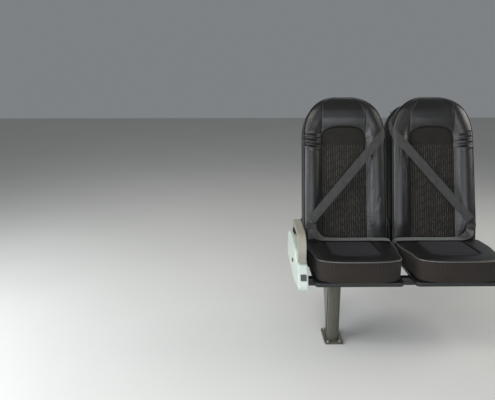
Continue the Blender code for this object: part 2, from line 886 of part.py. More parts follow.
def side_plate(name, low, high, steel, with_lug):
    # Pressed plate that carries the beams' ends and the back's pivot, and on the aisle the armrest's pin
    corner = plate_radius * plate_corner_share
    top = beam_top + plate_rise
    outline = arc((plate_front + corner, plate_bottom + corner), corner, 180, 270, 4)
    outline += arc((pivot_y, pivot_z), plate_radius, -50, 90, 10)
    if with_lug:
        neck = armrest_lug_radius
        pivot = (armrest_pivot_y, armrest_pivot_z)
        outline += [(armrest_pivot_y + neck * 2, pivot_z + plate_radius)]
        outline += arc(pivot, armrest_lug_radius, 20, 180, 8)
        outline += [(armrest_pivot_y - neck, pivot_z + plate_radius)]
    else:
        outline += [(pivot_y - plate_radius * 2, top)]
    outline += arc((plate_front + corner, top - corner), corner, 90, 180, 4)
    plate = add_object(name, prism(outline, low, high, along_x), steel)
    pivot_hole(plate, name, low - cut_overrun, high + cut_overrun)
    if with_lug:
        outer_end = armrest_x - armrest_width / 2
        pin = prism(circle((armrest_pivot_y, armrest_pivot_z), armrest_pin_radius), outer_end, high, along_x)
        boolean(plate, add_object(f"{name}_pin", pin, helper=True), "UNION")


def centre_plate(steel):
    # Stands on the rear beam between the seats and carries both backs' inner pins
    low, high = centre_x - centre_plate_thickness / 2, centre_x + centre_plate_thickness / 2
    foot = beam_top + seat_gap
    outline = [(lap_y - webbing_width, foot), (pivot_y, foot)]
    outline += arc((pivot_y, pivot_z), plate_radius, -60, 90, 8)
    outline += [(lap_y - webbing_width, pivot_z + plate_radius * plate_corner_share)]
    plate = add_object("centre_plate", prism(outline, low, high, along_x), steel)
    pivot_hole(plate, "centre_plate", low - cut_overrun, high + cut_overrun)


def leg_ring(z, depth):
    half = leg_width / 2
    front = arc((half - leg_front_round, leg_front + leg_front_round), leg_front_round, -90, 0, 5)
    rear = arc((half - leg_rear_round, leg_front + depth - leg_rear_round), leg_rear_round, 0, 90, 3)
    right = front + rear
    left = [(-x, y) for x, y in reversed(right)]
    return [(x, y, z) for x, y in right + left]


def pedestal_leg(steel):
    # Pressed leg that spreads from the shoe up to both beams, with a rib sunk in each side
    low, high = shoe_height + seat_gap, beam_bottom - seat_gap
    rings = []
    for i in range(leg_steps + 1):
        share = i / leg_steps
        depth = leg_foot_depth + (leg_head_depth - leg_foot_depth) * share**leg_spread_power
        rings.append(leg_ring(low + (high - low) * share, depth))
    leg = add_object("pedestal_leg", loft(rings), steel)
    middle = leg_front + leg_foot_depth / 2
    half = leg_rib_width / 2
    near, far = (middle - half, low + leg_rib_width), (middle + half, high - leg_rib_width)
    outline = rounded_box(near, far, half * leg_rib_round_share, 4)
    for side in (-1, 1):
        near, far = side * (leg_width / 2 - leg_rib_depth), side * (leg_width / 2 + cut_overrun)
        rib = prism(outline, near, far, along_x)
        boolean(leg, add_object("leg_rib_cutter", rib, helper=True), "DIFFERENCE")


def floor_shoe(steel):
    outline = rounded_box((-shoe_width / 2, -shoe_depth / 2), (shoe_width / 2, shoe_depth / 2), shoe_corner, 4)
    shoe = add_object("floor_shoe", prism(outline, 0, shoe_height, along_z), steel)
    edges = shoe.modifiers.new("bevel", "BEVEL")
    edges.width = shoe_edge
    edges.segments = 1
    edges.limit_method = "ANGLE"


def wall_bracket(steel):
    # Channel between the wall side plate and the rail on the wall
    x0, x3 = wall_plate_outer + seat_gap, wall_face_x
    x1, x2 = x0 + bracket_thickness, x3 - bracket_thickness
    low, high = bracket_top - bracket_drop, bracket_top
    web = high - bracket_thickness
    outline = [(x0, low), (x1, low), (x1, web), (x2, web), (x2, low), (x3, low), (x3, high), (x0, high)]
    add_object("wall_bracket", prism(outline, bracket_front, bracket_rear, along_y), steel, smooth=False)


# Armrest and aisle cover

def armrest_curve(inset, start):
    # The armrest's outer line from rear to front, moved inwards, from so far above the pin
    rear, front, top = armrest_rear - inset, armrest_front + inset, armrest_top - inset
    r0, r1 = armrest_rear_round - inset, armrest_front_round - inset
    found = [(rear, armrest_pivot_z + start)]
    found += arc((rear - r0, top - r0), r0, 0, 90, 5)
    found += arc((front + r1, top - r1), r1, 90, 180, 9)
    found += [(front, armrest_end)]
    return found


def armrest(pad_plastic, steel):
    split, under = armrest_pad_thickness, armrest_pad_thickness + armrest_core_thickness
    half = armrest_width / 2
    outline = armrest_curve(0, armrest_pad_start) + list(reversed(armrest_curve(split, armrest_pad_start)))
    pad = add_object(
        "armrest_pad",
        prism(outline, armrest_x - half, armrest_x + half, along_x),
        pad_plastic,
    )
    bevel(pad, armrest_edge)
    half = armrest_core_width / 2
    outline = armrest_curve(split + seat_gap, 0) + list(reversed(armrest_curve(under, 0)))
    core = add_object("armrest_core", prism(outline, armrest_x - half, armrest_x + half, along_x), steel)
    centre = (armrest_pivot_y, armrest_pivot_z)
    boss = prism(circle(centre, armrest_boss_radius), armrest_x - half, armrest_x + half, along_x)
    boolean(core, add_object("armrest_boss", boss, helper=True), "UNION")
    bore = prism(
        circle(centre, armrest_pin_radius + pin_gap),
        armrest_x - half - cut_overrun,
        armrest_x + half + cut_overrun,
        along_x,
    )
    boolean(core, add_object("armrest_bore", bore, helper=True), "DIFFERENCE")


def cover_section(shares, inset):
    along, top_share, bottom_share, taper = shares
    length, height = cover_rear - cover_front, cover_ledge - cover_bottom
    y = cover_front + length * along
    low = cover_bottom + height * bottom_share + inset
    high = cover_bottom + height * top_share - inset
    outer = cover_outer + cover_taper * taper + inset
    inner = cover_inner if not inset else cover_inner + cut_overrun
    radius = min(cover_round, (high - low) * cover_round_share)
    if inset:
        radius *= cover_hollow_round_share
    points = rounded_box((outer, low), (inner, high), radius, 3)
    return [(x, y, z) for x, z in points]


def aisle_cover(pale):
    # Moulded cover over the side plate, hollow and open towards the seat
    cover = add_object("aisle_cover", loft([cover_section(s, 0) for s in cover_shares]), pale)
    rings = [cover_section(s, cover_wall) for s in cover_shares[cover_end_steps:-cover_end_steps]]
    hollow = add_object("cover_hollow", loft(rings), helper=True)
    boolean(cover, hollow, "DIFFERENCE")


def slope_place():
    # Middle of the cover's front slope, and the slope's angle from the vertical
    ends = []
    for i in cover_slope_steps:
        along, top_share, _, _ = cover_shares[i]
        y = cover_front + (cover_rear - cover_front) * along
        ends.append(Vector((0, y, cover_bottom + (cover_ledge - cover_bottom) * top_share)))
    low, high = ends
    rise = high - low
    return low.lerp(high, blank_place_share), math.atan2(rise.y, rise.z)


def blank_plate(black):
    place, angle = slope_place()
    half, tall = blank_width / 2, blank_height / 2
    outline = rounded_box((-half, -tall), (half, tall), blank_thickness)
    plate = add_object("blank_plate", prism(outline, -blank_thickness - seat_gap, -seat_gap, along_y), black)
    middle = (cover_outer + cover_taper + cover_inner) / 2
    plate.location = (middle, place.y, place.z)
    plate.rotation_euler = (-angle, 0, 0)


def recline_button(black):
    outline = circle((button_y, button_z), button_radius, round_steps)
    low = cover_outer - seat_gap - button_height
    button = add_object("recline_button", prism(outline, low, cover_outer - seat_gap, along_x), black)
    bevel(button, blank_thickness)


def main():
    clear_scene()
    leather = finish("black leather", (0.018, 0.020, 0.023), 0.38)
    fabric = finish("dark woven plush", (0.030, 0.026, 0.030), 0.92)
    webbing = finish("charcoal webbing", (0.055, 0.056, 0.062), 0.75)
    black = finish("black moulded plastic", (0.02, 0.02, 0.02), 0.45)
    pale = finish("pale mint moulded plastic", (0.66, 0.75, 0.68), 0.4)
    beige = finish("warm grey moulded plastic", (0.44, 0.42, 0.35), 0.5)
    steel = finish("grey coated steel", (0.22, 0.22, 0.20), 0.5)
    for seat in seats:
        pivot = bpy.data.objects.new(f"{seat['name']}_back_pivot", None)
        bpy.context.scene.collection.objects.link(pivot)
        pivot.location = (seat["x"], pivot_y, pivot_z)
        pivot.rotation_euler = (-lean, 0, 0)
        back_upholstery(seat["name"], pivot, leather, fabric)
        back_frame(seat, pivot, steel)
        rear_shell(seat["name"], pivot, black)
        magazine_pocket(seat["name"], pivot, black)
        belt_guide(seat, pivot, black)
        belt_retractor(seat, pivot, black)
        belt_riser(seat, pivot, webbing)
        shoulder_belt(seat, pivot, webbing)
        cushion(seat, leather, fabric)
        cushion_pan(seat, steel)
        lap_belt(seat, webbing)
        buckle(seat, black, steel)
    beam("front_beam", front_beam_y, steel)
    beam("rear_beam", rear_beam_y, steel)
    side_plate("aisle_plate", aisle_plate_outer, aisle_plate_inner, steel, True)
    side_plate("wall_plate", wall_plate_inner, wall_plate_outer, steel, False)
    centre_plate(steel)
    wall_bracket(steel)
    pedestal_leg(steel)
    floor_shoe(steel)
    armrest(beige, steel)
    aisle_cover(pale)
    blank_plate(black)
    recline_button(black)


main()
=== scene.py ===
import math
import bpy
import numpy as np
from mathutils import Matrix, Vector
from mathutils.bvhtree import BVHTree


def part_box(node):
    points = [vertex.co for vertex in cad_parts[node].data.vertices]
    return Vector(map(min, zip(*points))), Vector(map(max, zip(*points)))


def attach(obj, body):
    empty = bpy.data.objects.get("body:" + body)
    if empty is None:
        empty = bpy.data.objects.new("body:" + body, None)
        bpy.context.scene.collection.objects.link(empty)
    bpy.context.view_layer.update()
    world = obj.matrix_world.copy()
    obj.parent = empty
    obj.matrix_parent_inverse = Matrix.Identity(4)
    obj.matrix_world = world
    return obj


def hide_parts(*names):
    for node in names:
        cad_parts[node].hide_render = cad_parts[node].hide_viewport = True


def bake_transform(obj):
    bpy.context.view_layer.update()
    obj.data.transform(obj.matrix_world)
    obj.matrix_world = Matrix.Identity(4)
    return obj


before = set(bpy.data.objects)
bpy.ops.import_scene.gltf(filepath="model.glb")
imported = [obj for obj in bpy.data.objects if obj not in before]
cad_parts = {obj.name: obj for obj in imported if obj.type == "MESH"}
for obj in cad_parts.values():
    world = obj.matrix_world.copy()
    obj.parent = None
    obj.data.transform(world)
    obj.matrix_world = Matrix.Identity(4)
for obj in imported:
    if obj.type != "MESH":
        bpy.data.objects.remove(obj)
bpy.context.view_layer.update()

print("stage: frame loaded")

# Where the two places stand; inner is the side on which a place meets the other one
seats = {
    "aisle": {"x": 0.095, "inner": 1},
    "window": {"x": 0.575, "inner": -1},
}


# small tools

def linearColour(code):
    parts = [int(code[i:i + 2], 16) / 255 for i in (1, 3, 5)]
    return tuple(p / 12.92 if p <= 0.04045 else ((p + 0.055) / 1.055) ** 2.4 for p in parts) + (1.0,)


def ease(value, low, high):
    share = np.clip((value - low) / (high - low), 0.0, 1.0)
    return share * share * (3 - 2 * share)


def smoothLine(points, counts, closed=False):
    # a smooth line through the points, with so many steps in each span
    points = np.asarray(points, float)
    total = len(points)
    found = []
    for i in range(total if closed else total - 1):
        if closed:
            a, b, c, d = (points[(i + k) % total] for k in (-1, 0, 1, 2))
        else:
            a, b, c, d = (points[min(max(i + k, 0), total - 1)] for k in (-1, 0, 1, 2))
        count = counts[i] if hasattr(counts, "__len__") else counts
        t = (np.arange(count) / count)[:, None]
        bend = (2 * a - 5 * b + 4 * c - d) * t**2 + (3 * b - a - 3 * c + d) * t**3
        found.append(0.5 * (2 * b + (c - a) * t + bend))
    if not closed:
        found.append(points[-1:])
    return np.vstack(found)


def addMesh(name, points, faces, finishes, smooth=True, sharpAngle=None):
    mesh = bpy.data.meshes.new(name)
    mesh.from_pydata([tuple(p) for p in points], [], faces)
    mesh.validate()
    if smooth:
        mesh.shade_smooth()
        if sharpAngle:
            mesh.set_sharp_from_angle(angle=math.radians(sharpAngle))
    for finish in finishes:
        mesh.materials.append(finish)
    piece = bpy.data.objects.new(name, mesh)
    bpy.context.scene.collection.objects.link(piece)
    return piece


def asGrid(rows):
    return np.array([[tuple(p) for p in row] for row in rows], float)


def distancesAlong(line):
    # how far each point of a line lies from its start, along it
    return np.concatenate([[0], np.cumsum(np.linalg.norm(np.diff(line, axis=0), axis=1))])


def ringFaces(rows, columns, capped=True, looped=False):
    faces = []
    for i in range(rows if looped else rows - 1):
        for j in range(columns):
            k, n = (j + 1) % columns, (i + 1) % rows
            faces.append((i * columns + j, i * columns + k, n * columns + k, n * columns + j))
    if capped:
        faces.append(tuple(reversed(range(columns))))
        faces.append(tuple((rows - 1) * columns + j for j in range(columns)))
    return faces


def loft(name, rings, finishes, capped=True, looped=False, **shading):
    # a body through rings of equal length
    rings = asGrid(rings)
    faces = ringFaces(*rings.shape[:2], capped, looped)
    return addMesh(name, rings.reshape(-1, 3), faces, finishes, **shading)


def tubeRings(path, radius, sides=8, looped=False):
    path = np.asarray(path, float)
    count = len(path)
    rings, side = [], None
    for i in range(count):
        ahead = path[(i + 1) % count] if looped else path[min(i + 1, count - 1)]
        along = Vector(ahead - path[i - 1 if looped else max(i - 1, 0)]).normalized()
        if side is None:
            side = along.orthogonal().normalized()
        side = (side - along * side.dot(along)).normalized()
        other = along.cross(side)
        turns = [2 * math.pi * k / sides for k in range(sides)]
        rings.append([Vector(path[i]) + radius * (side * math.cos(t) + other * math.sin(t)) for t in turns])
    return rings


def getPoints(piece):
    flat = np.empty(len(piece.data.vertices) * 3)
    piece.data.vertices.foreach_get("co", flat)
    return flat.reshape(-1, 3)


def getNormals(piece):
    flat = np.empty(len(piece.data.vertices) * 3, dtype=np.float32)
    piece.data.vertex_normals.foreach_get("vector", flat)
    return flat.reshape(-1, 3).astype(float)


def setPoints(piece, points):
    piece.data.vertices.foreach_set("co", np.asarray(points, np.float32).reshape(-1))
    piece.data.update()


def settle(piece):
    # modifiers become plain mesh
    view = bpy.context.evaluated_depsgraph_get()
    final = bpy.data.meshes.new_from_object(piece.evaluated_get(view), depsgraph=view)
    piece.modifiers.clear()
    piece.data = final
    piece.data.name = piece.name


def refined(grid):
    # one more row and column between each two, on a smooth surface through them; its columns close round
    wide = np.empty((grid.shape[0], grid.shape[1] * 2, 3))
    wide[:, ::2] = grid
    near, far = grid + np.roll(grid, -1, axis=1), np.roll(grid, 1, axis=1) + np.roll(grid, -2, axis=1)
    wide[:, 1::2] = (9 * near - far) / 16
    tall = np.empty((wide.shape[0] * 2 - 1, wide.shape[1], 3))
    tall[::2] = wide
    ends = np.concatenate([wide[:1], wide, wide[-1:]])
    tall[1::2] = (9 * (wide[:-1] + wide[1:]) - (ends[:-3] + ends[3:])) / 16
    return tall


def surfaceOf(piece):
    return BVHTree.FromPolygons([v.co for v in piece.data.vertices], [p.vertices for p in piece.data.polygons])


def joined(name, parts, finishes, **shading):
    # one piece out of many (points, faces) parts
    points, faces = [], []
    for partPoints, partFaces in parts:
        start = len(points)
        points += [tuple(p) for p in partPoints]
        faces += [tuple(start + i for i in face) for face in partFaces]
    return addMesh(name, points, faces, finishes, **shading)


def latheParts(profile, centre, axis, sides=24, corners=None):
    # a turned solid: profile holds (radius, distance along the axis)
    axis = Vector(axis).normalized()
    side = axis.orthogonal().normalized()
    other = axis.cross(side)
    count = corners or sides
    points = []
    for radius, along in profile:
        for k in range(count):
            turn = 2 * math.pi * (k + 0.5) / count
            points.append(Vector(centre) + axis * along + radius * (side * math.cos(turn) + other * math.sin(turn)))
    return points, ringFaces(len(profile), count)


def fit(piece, body, standsFor=None):
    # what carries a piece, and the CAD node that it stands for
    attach(piece, body)
    if standsFor:
        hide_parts(standsFor)


# materials

def addNode(tree, kind, links=None, **settings):
    node = tree.nodes.new(kind)
    for key, value in settings.items():
        setattr(node, key, value)
    for key, value in (links or {}).items():
        if isinstance(value, bpy.types.NodeSocket):
            tree.links.new(value, node.inputs[key])
        else:
            node.inputs[key].default_value = value
    return node


def newFinish(name, plain):
    # an empty material with its plain numbers set on the shader itself
    finish = bpy.data.materials.new(name)
    finish.use_nodes = True
    tree = finish.node_tree
    shader = tree.nodes["Principled BSDF"]
    for key, value in plain.items():
        shader.inputs[key].default_value = value
    place = addNode(tree, "ShaderNodeTexCoord").outputs["Object"]
    return finish, tree, shader, place


def mixColours(tree, share, first, second):
    return addNode(tree, "ShaderNodeMix", {0: share, 6: first, 7: second}, data_type="RGBA").outputs[2]


def leatherFinish(name, look):
    # Full-grain leather, pigmented and embossed: soft broad gloss, pebbled, a little browner in broad random patches
    finish, tree, shader, place = newFinish(name, {"IOR": 1.5, "Coat Weight": look["coat"], "Coat Roughness": 0.34})
    drift = addNode(tree, "ShaderNodeTexNoise", {"Vector": place, "Scale": 1 / look["driftSize"], "Detail": 3.0})
    creases = addNode(tree, "ShaderNodeTexNoise", {"Vector": place, "Scale": 1 / look["creaseSize"], "Detail": 6.0,
                                                   "Distortion": 0.8})
    pebbles = addNode(tree, "ShaderNodeTexVoronoi", {"Vector": place, "Scale": 1 / look["pebbleSize"]},
                      feature="DISTANCE_TO_EDGE")
    pores = addNode(tree, "ShaderNodeMapRange", {"Value": pebbles.outputs["Distance"], "From Max": 0.12})
    tone = mixColours(tree, drift.outputs["Fac"], linearColour(look["dark"]), linearColour(look["light"]))
    tone = mixColours(tree, pores.outputs[0], linearColour(look["pore"]), tone)
    tree.links.new(tone, shader.inputs["Base Color"])
    rough = addNode(tree, "ShaderNodeMapRange", {"Value": creases.outputs["Fac"], "To Min": look["rough"] - 0.07,
                                                 "To Max": look["rough"] + 0.08})
    tree.links.new(rough.outputs[0], shader.inputs["Roughness"])
    coarse = addNode(tree, "ShaderNodeBump", {"Height": creases.outputs["Fac"], "Strength": 0.5,
                                              "Distance": look["creaseDepth"]})
    fine = addNode(tree, "ShaderNodeBump", {"Height": pores.outputs[0], "Strength": 0.35,
                                            "Distance": look["pebbleDepth"], "Normal": coarse.outputs[0]})
    tree.links.new(fine.outputs[0], shader.inputs["Normal"])
    return finish


def plushFinish(name, look):
    # Woven jacquard plush: matt dark pile that drinks light, with columns of paler dashes
    finish, tree, shader, place = newFinish(name, {"Roughness": 0.92, "Sheen Weight": look["sheen"],
                                                   "Sheen Roughness": 0.45, "Specular IOR Level": 0.2})
    shader.inputs["Sheen Tint"].default_value = linearColour(look["sheenTint"])
    axes = addNode(tree, "ShaderNodeSeparateXYZ", {0: place})
    across, along = axes.outputs[0], axes.outputs[look["alongAxis"]]
    column = addNode(tree, "ShaderNodeMath", {0: across, 1: look["columnPitch"]}, operation="DIVIDE").outputs[0]
    number = addNode(tree, "ShaderNodeMath", {0: column}, operation="FLOOR").outputs[0]
    slip = addNode(tree, "ShaderNodeTexWhiteNoise", {"W": number}, noise_dimensions="1D").outputs["Value"]
    rank = addNode(tree, "ShaderNodeMath", {0: along, 1: 1 / look["dashPitch"], 2: slip},
                   operation="MULTIPLY_ADD").outputs[0]
    seat = addNode(tree, "ShaderNodeMath", {0: rank}, operation="FLOOR").outputs[0]
    inColumn = addNode(tree, "ShaderNodeMath", {0: column}, operation="FRACT").outputs[0]
    inDash = addNode(tree, "ShaderNodeMath", {0: rank}, operation="FRACT").outputs[0]
    masks = []
    for value, half in ((inColumn, look["dashWide"]), (inDash, look["dashLong"])):
        off = addNode(tree, "ShaderNodeMath", {0: value, 1: 0.5}, operation="SUBTRACT").outputs[0]
        away = addNode(tree, "ShaderNodeMath", {0: off}, operation="ABSOLUTE").outputs[0]
        masks.append(addNode(tree, "ShaderNodeMapRange", {"Value": away, "From Min": half, "From Max": half * 0.6})
                     .outputs[0])
    dash = addNode(tree, "ShaderNodeMath", {0: masks[0], 1: masks[1]}, operation="MULTIPLY").outputs[0]
    spot = addNode(tree, "ShaderNodeCombineXYZ", {0: number, 1: seat})
    pick = addNode(tree, "ShaderNodeTexWhiteNoise", {"Vector": spot.outputs[0]}, noise_dimensions="2D")
    strength = addNode(tree, "ShaderNodeMapRange", {"Value": pick.outputs["Value"], "To Min": 0.35, "To Max": 1.0})
    plainer = addNode(tree, "ShaderNodeMapRange", {"Value": along, "From Min": look["plainAbove"],
                                                   "From Max": look["plainAbove"] + 0.003, "To Min": 1.0,
                                                   "To Max": look["plainShare"]}).outputs[0]
    lit = addNode(tree, "ShaderNodeMath", {0: dash, 1: strength.outputs[0]}, operation="MULTIPLY").outputs[0]
    shown = addNode(tree, "ShaderNodeMath", {0: lit, 1: plainer}, operation="MULTIPLY").outputs[0]
    drift = addNode(tree, "ShaderNodeTexNoise", {"Vector": place, "Scale": 14.0, "Detail": 3.0})
    ground = mixColours(tree, drift.outputs["Fac"], linearColour(look["dark"]), linearColour(look["light"]))
    tree.links.new(mixColours(tree, shown, ground, linearColour(look["dash"])), shader.inputs["Base Color"])
    pile = addNode(tree, "ShaderNodeTexNoise", {"Vector": place, "Scale": 1 / look["pileSize"], "Detail": 2.0})
    ribs = addNode(tree, "ShaderNodeMath", {0: across, 1: 2 * math.pi / look["ribPitch"]}, operation="MULTIPLY")
    wave = addNode(tree, "ShaderNodeMath", {0: ribs.outputs[0]}, operation="SINE").outputs[0]
    height = addNode(tree, "ShaderNodeMath", {0: wave, 1: 0.20, 2: pile.outputs["Fac"]}, operation="MULTIPLY_ADD")
    raised = addNode(tree, "ShaderNodeMath", {0: shown, 1: 0.8, 2: height.outputs[0]}, operation="MULTIPLY_ADD")
    bump = addNode(tree, "ShaderNodeBump", {"Height": raised.outputs[0], "Strength": 0.5, "Distance": 0.0012})
    tree.links.new(bump.outputs[0], shader.inputs["Normal"])
    return finish


def clothFinish(name, look):
    # Flat woven upholstery cloth: warp and weft crossing, matt, with slubs
    finish, tree, shader, place = newFinish(name, {"Roughness": look["rough"], "Sheen Weight": 0.03,
                                                   "Specular IOR Level": 0.15})
    axes = addNode(tree, "ShaderNodeSeparateXYZ", {0: place})
    waves = []
    for axis, pitch in zip(look["axes"], look["pitches"]):
        turn = addNode(tree, "ShaderNodeMath", {0: axes.outputs[axis], 1: 2 * math.pi / pitch}, operation="MULTIPLY")
        waves.append(addNode(tree, "ShaderNodeMath", {0: turn.outputs[0]}, operation="SINE").outputs[0])
    weave = addNode(tree, "ShaderNodeMath", {0: waves[0], 1: waves[1]}, operation="MULTIPLY").outputs[0]
    slubs = addNode(tree, "ShaderNodeTexNoise", {"Vector": place, "Scale": 1 / look["slubSize"], "Detail": 4.0})
    share = addNode(tree, "ShaderNodeMath", {0: weave, 1: 0.22, 2: slubs.outputs["Fac"]}, operation="MULTIPLY_ADD")
    tone = mixColours(tree, share.outputs[0], linearColour(look["dark"]), linearColour(look["light"]))
    tree.links.new(tone, shader.inputs["Base Color"])
    bump = addNode(tree, "ShaderNodeBump", {"Height": share.outputs[0], "Strength": 0.4, "Distance": 0.0010})
    tree.links.new(bump.outputs[0], shader.inputs["Normal"])
    return finish


def webbingFinish(name, look):
    # Polyester webbing, flat woven and heat set: satin, ribbed along its length, thicker selvedges
    finish, tree, shader, place = newFinish(name, {"Roughness": 0.55, "Sheen Weight": 0.25, "IOR": 1.45,
                                                   "Specular IOR Level": 0.35})
    lay = addNode(tree, "ShaderNodeTexCoord").outputs["UV"]  # metres across and along the webbing
    axes = addNode(tree, "ShaderNodeSeparateXYZ", {0: lay})
    across, along = axes.outputs[0], axes.outputs[1]
    rib = addNode(tree, "ShaderNodeMath", {0: across, 1: 2 * math.pi / look["ribPitch"]}, operation="MULTIPLY")
    ribs = addNode(tree, "ShaderNodeMath", {0: rib.outputs[0]}, operation="SINE").outputs[0]
    slant = addNode(tree, "ShaderNodeMath", {0: ribs, 1: 0.9}, operation="MULTIPLY")
    pick = addNode(tree, "ShaderNodeMath", {0: along, 1: 2 * math.pi / look["pickPitch"], 2: slant.outputs[0]},
                   operation="MULTIPLY_ADD")
    picks = addNode(tree, "ShaderNodeMath", {0: pick.outputs[0]}, operation="SINE").outputs[0]
    height = addNode(tree, "ShaderNodeMath", {0: picks, 1: 0.4, 2: ribs}, operation="MULTIPLY_ADD").outputs[0]
    drift = addNode(tree, "ShaderNodeTexNoise", {"Vector": lay, "Scale": 25.0, "Detail": 4.0})
    share = addNode(tree, "ShaderNodeMath", {0: height, 1: 0.15, 2: drift.outputs["Fac"]}, operation="MULTIPLY_ADD")
    tone = mixColours(tree, share.outputs[0], linearColour(look["dark"]), linearColour(look["light"]))
    tree.links.new(tone, shader.inputs["Base Color"])
    bump = addNode(tree, "ShaderNodeBump", {"Height": height, "Strength": 0.35, "Distance": 0.0004})
    tree.links.new(bump.outputs[0], shader.inputs["Normal"])
    return finish


def hardFinish(name, look):
    # Plastics, paint and metal: colour drift, fine surface texture, and rubbed edges
    plain = {"Metallic": look.get("metallic", 0.0), "Coat Weight": look.get("coat", 0.0)}
    if "ior" in look:
        plain["IOR"] = look["ior"]
    finish, tree, shader, place = newFinish(name, plain)
    drift = addNode(tree, "ShaderNodeTexNoise", {"Vector": place, "Scale": 1 / look["driftSize"], "Detail": 4.0})
    grain = addNode(tree, "ShaderNodeTexNoise", {"Vector": place, "Scale": 1 / look["grainSize"], "Detail": 3.0})
    softened = addNode(tree, "ShaderNodeBevel", {"Radius": look.get("edgeRadius", 0.0012)}, samples=4)
    flat = addNode(tree, "ShaderNodeNewGeometry").outputs["True Normal"]
    facing = addNode(tree, "ShaderNodeVectorMath", {0: softened.outputs[0], 1: flat}, operation="DOT_PRODUCT")
    edge = addNode(tree, "ShaderNodeMapRange", {"Value": facing.outputs["Value"], "From Min": 0.97, "From Max": 0.80})
    patchy = addNode(tree, "ShaderNodeMapRange", {"Value": drift.outputs["Fac"], "From Min": 0.42, "From Max": 0.60})
    rubbed = addNode(tree, "ShaderNodeMath", {0: edge.outputs[0], 1: patchy.outputs[0]}, operation="MULTIPLY")
    worn = addNode(tree, "ShaderNodeMath", {0: rubbed.outputs[0], 1: look["wear"]}, operation="MULTIPLY").outputs[0]
    tone = mixColours(tree, drift.outputs["Fac"], linearColour(look["dark"]), linearColour(look["light"]))
    tree.links.new(mixColours(tree, worn, tone, linearColour(look["rubbed"])), shader.inputs["Base Color"])
    rough = addNode(tree, "ShaderNodeMapRange", {"Value": grain.outputs["Fac"], "To Min": look["rough"] - 0.08,
                                                 "To Max": look["rough"] + 0.08})
    tree.links.new(rough.outputs[0], shader.inputs["Roughness"])
    bump = addNode(tree, "ShaderNodeBump", {"Height": grain.outputs["Fac"], "Strength": look["bump"],
                                            "Distance": 0.0006, "Normal": softened.outputs[0]})
    tree.links.new(bump.outputs[0], shader.inputs["Normal"])
    return finish


# Pebbles of 1 mm would not show, so they are drawn about 3 mm across
hideLeather = leatherFinish("pigmentedFullGrainLeather", {
    "dark": "#0A0A0B", "light": "#181513", "pore": "#060607", "rough": 0.39, "coat": 0.12,
    "driftSize": 0.11, "creaseSize": 0.024, "creaseDepth": 0.0007, "pebbleSize": 0.0032, "pebbleDepth": 0.0004})
pipingLeather = leatherFinish("greyCoatedPipingLeather", {
    "dark": "#4A4A46", "light": "#62625D", "pore": "#3A3A37", "rough": 0.30, "coat": 0.45,
    "driftSize": 0.05, "creaseSize": 0.012, "creaseDepth": 0.0006, "pebbleSize": 0.0025, "pebbleDepth": 0.0002})
# Real warp columns are about 12 mm apart; ribs of 1.2 mm would not show, so they are drawn at 6 mm
backPlush = plushFinish("wovenJacquardPlush", {
    "dark": "#181714", "light": "#2B2925", "dash": "#504D49", "sheen": 0.15, "sheenTint": "#8C8680",
    "plainAbove": 0.555, "plainShare": 0.16,
    "alongAxis": 2, "columnPitch": 0.0120, "dashPitch": 0.0440, "dashWide": 0.14, "dashLong": 0.50,
    "pileSize": 0.0030, "ribPitch": 0.0060})
seatCloth = clothFinish("flatWovenSeatCloth", {
    "dark": "#141417", "light": "#242428", "rough": 0.85, "axes": (0, 2), "pitches": (0.0034, 0.0034),
    "slubSize": 0.006})
boxingCloth = clothFinish("ribWovenBoxingCloth", {
    "dark": "#171413", "light": "#3D3834", "rough": 0.88, "axes": (0, 2), "pitches": (0.0050, 0.0070),
    "slubSize": 0.005})
beltWebbing = webbingFinish("polyesterWebbing", {
    "dark": "#1C1D1C", "light": "#42423F", "ribPitch": 0.0052, "pickPitch": 0.0048})
sewingThread = clothFinish("bondedNylonThread", {
    "dark": "#1B1B1D", "light": "#45454A", "rough": 0.6, "axes": (0, 2), "pitches": (0.002, 0.002),
    "slubSize": 0.002})
blackAbs = hardFinish("injectionMouldedAbs", {
    "dark": "#101112", "light": "#1B1C1D", "rubbed": "#3A3A3A", "wear": 0.5, "rough": 0.42, "ior": 1.53,
    "driftSize": 0.06, "grainSize": 0.0016, "bump": 0.15})
shellAbs = hardFinish("vacuumFormedTexturedAbs", {
    "dark": "#17181A", "light": "#232527", "rubbed": "#454648", "wear": 0.6, "rough": 0.56, "ior": 1.53,
    "driftSize": 0.12, "grainSize": 0.0022, "bump": 0.45})
frameCoat = hardFinish("blackPowderCoatedSteel", {
    "dark": "#151617", "light": "#242525", "rubbed": "#77756F", "wear": 0.7, "rough": 0.48, "ior": 1.5,
    "driftSize": 0.05, "grainSize": 0.0018, "bump": 0.3})
legCoat = hardFinish("greyPowderCoatedSteel", {
    "dark": "#39392F", "light": "#57534B", "rubbed": "#9A9382", "wear": 0.8, "rough": 0.31, "ior": 1.5, "coat": 0.2,
    "driftSize": 0.045, "grainSize": 0.0020, "bump": 0.35})
mintAbs = hardFinish("paleMintMouldedAbs", {
    "dark": "#AEB8AE", "light": "#C2CBC1", "rubbed": "#DDE3DC", "wear": 0.5, "rough": 0.36, "ior": 1.53,
    "driftSize": 0.09, "grainSize": 0.0018, "bump": 0.12, "edgeRadius": 0.0020})
padFoam = hardFinish("integralSkinPolyurethane", {
    "dark": "#7F7B6E", "light": "#9E9A8C", "rubbed": "#B8B4A6", "wear": 0.4, "rough": 0.46, "ior": 1.5,
    "driftSize": 0.05, "grainSize": 0.0020, "bump": 0.35, "edgeRadius": 0.0025})
brightSteel = hardFinish("chromePlatedSteel", {
    "dark": "#B9BABB", "light": "#D6D7D8", "rubbed": "#8D8E90", "wear": 0.5, "rough": 0.20, "metallic": 1.0,
    "driftSize": 0.03, "grainSize": 0.0012, "bump": 0.08})
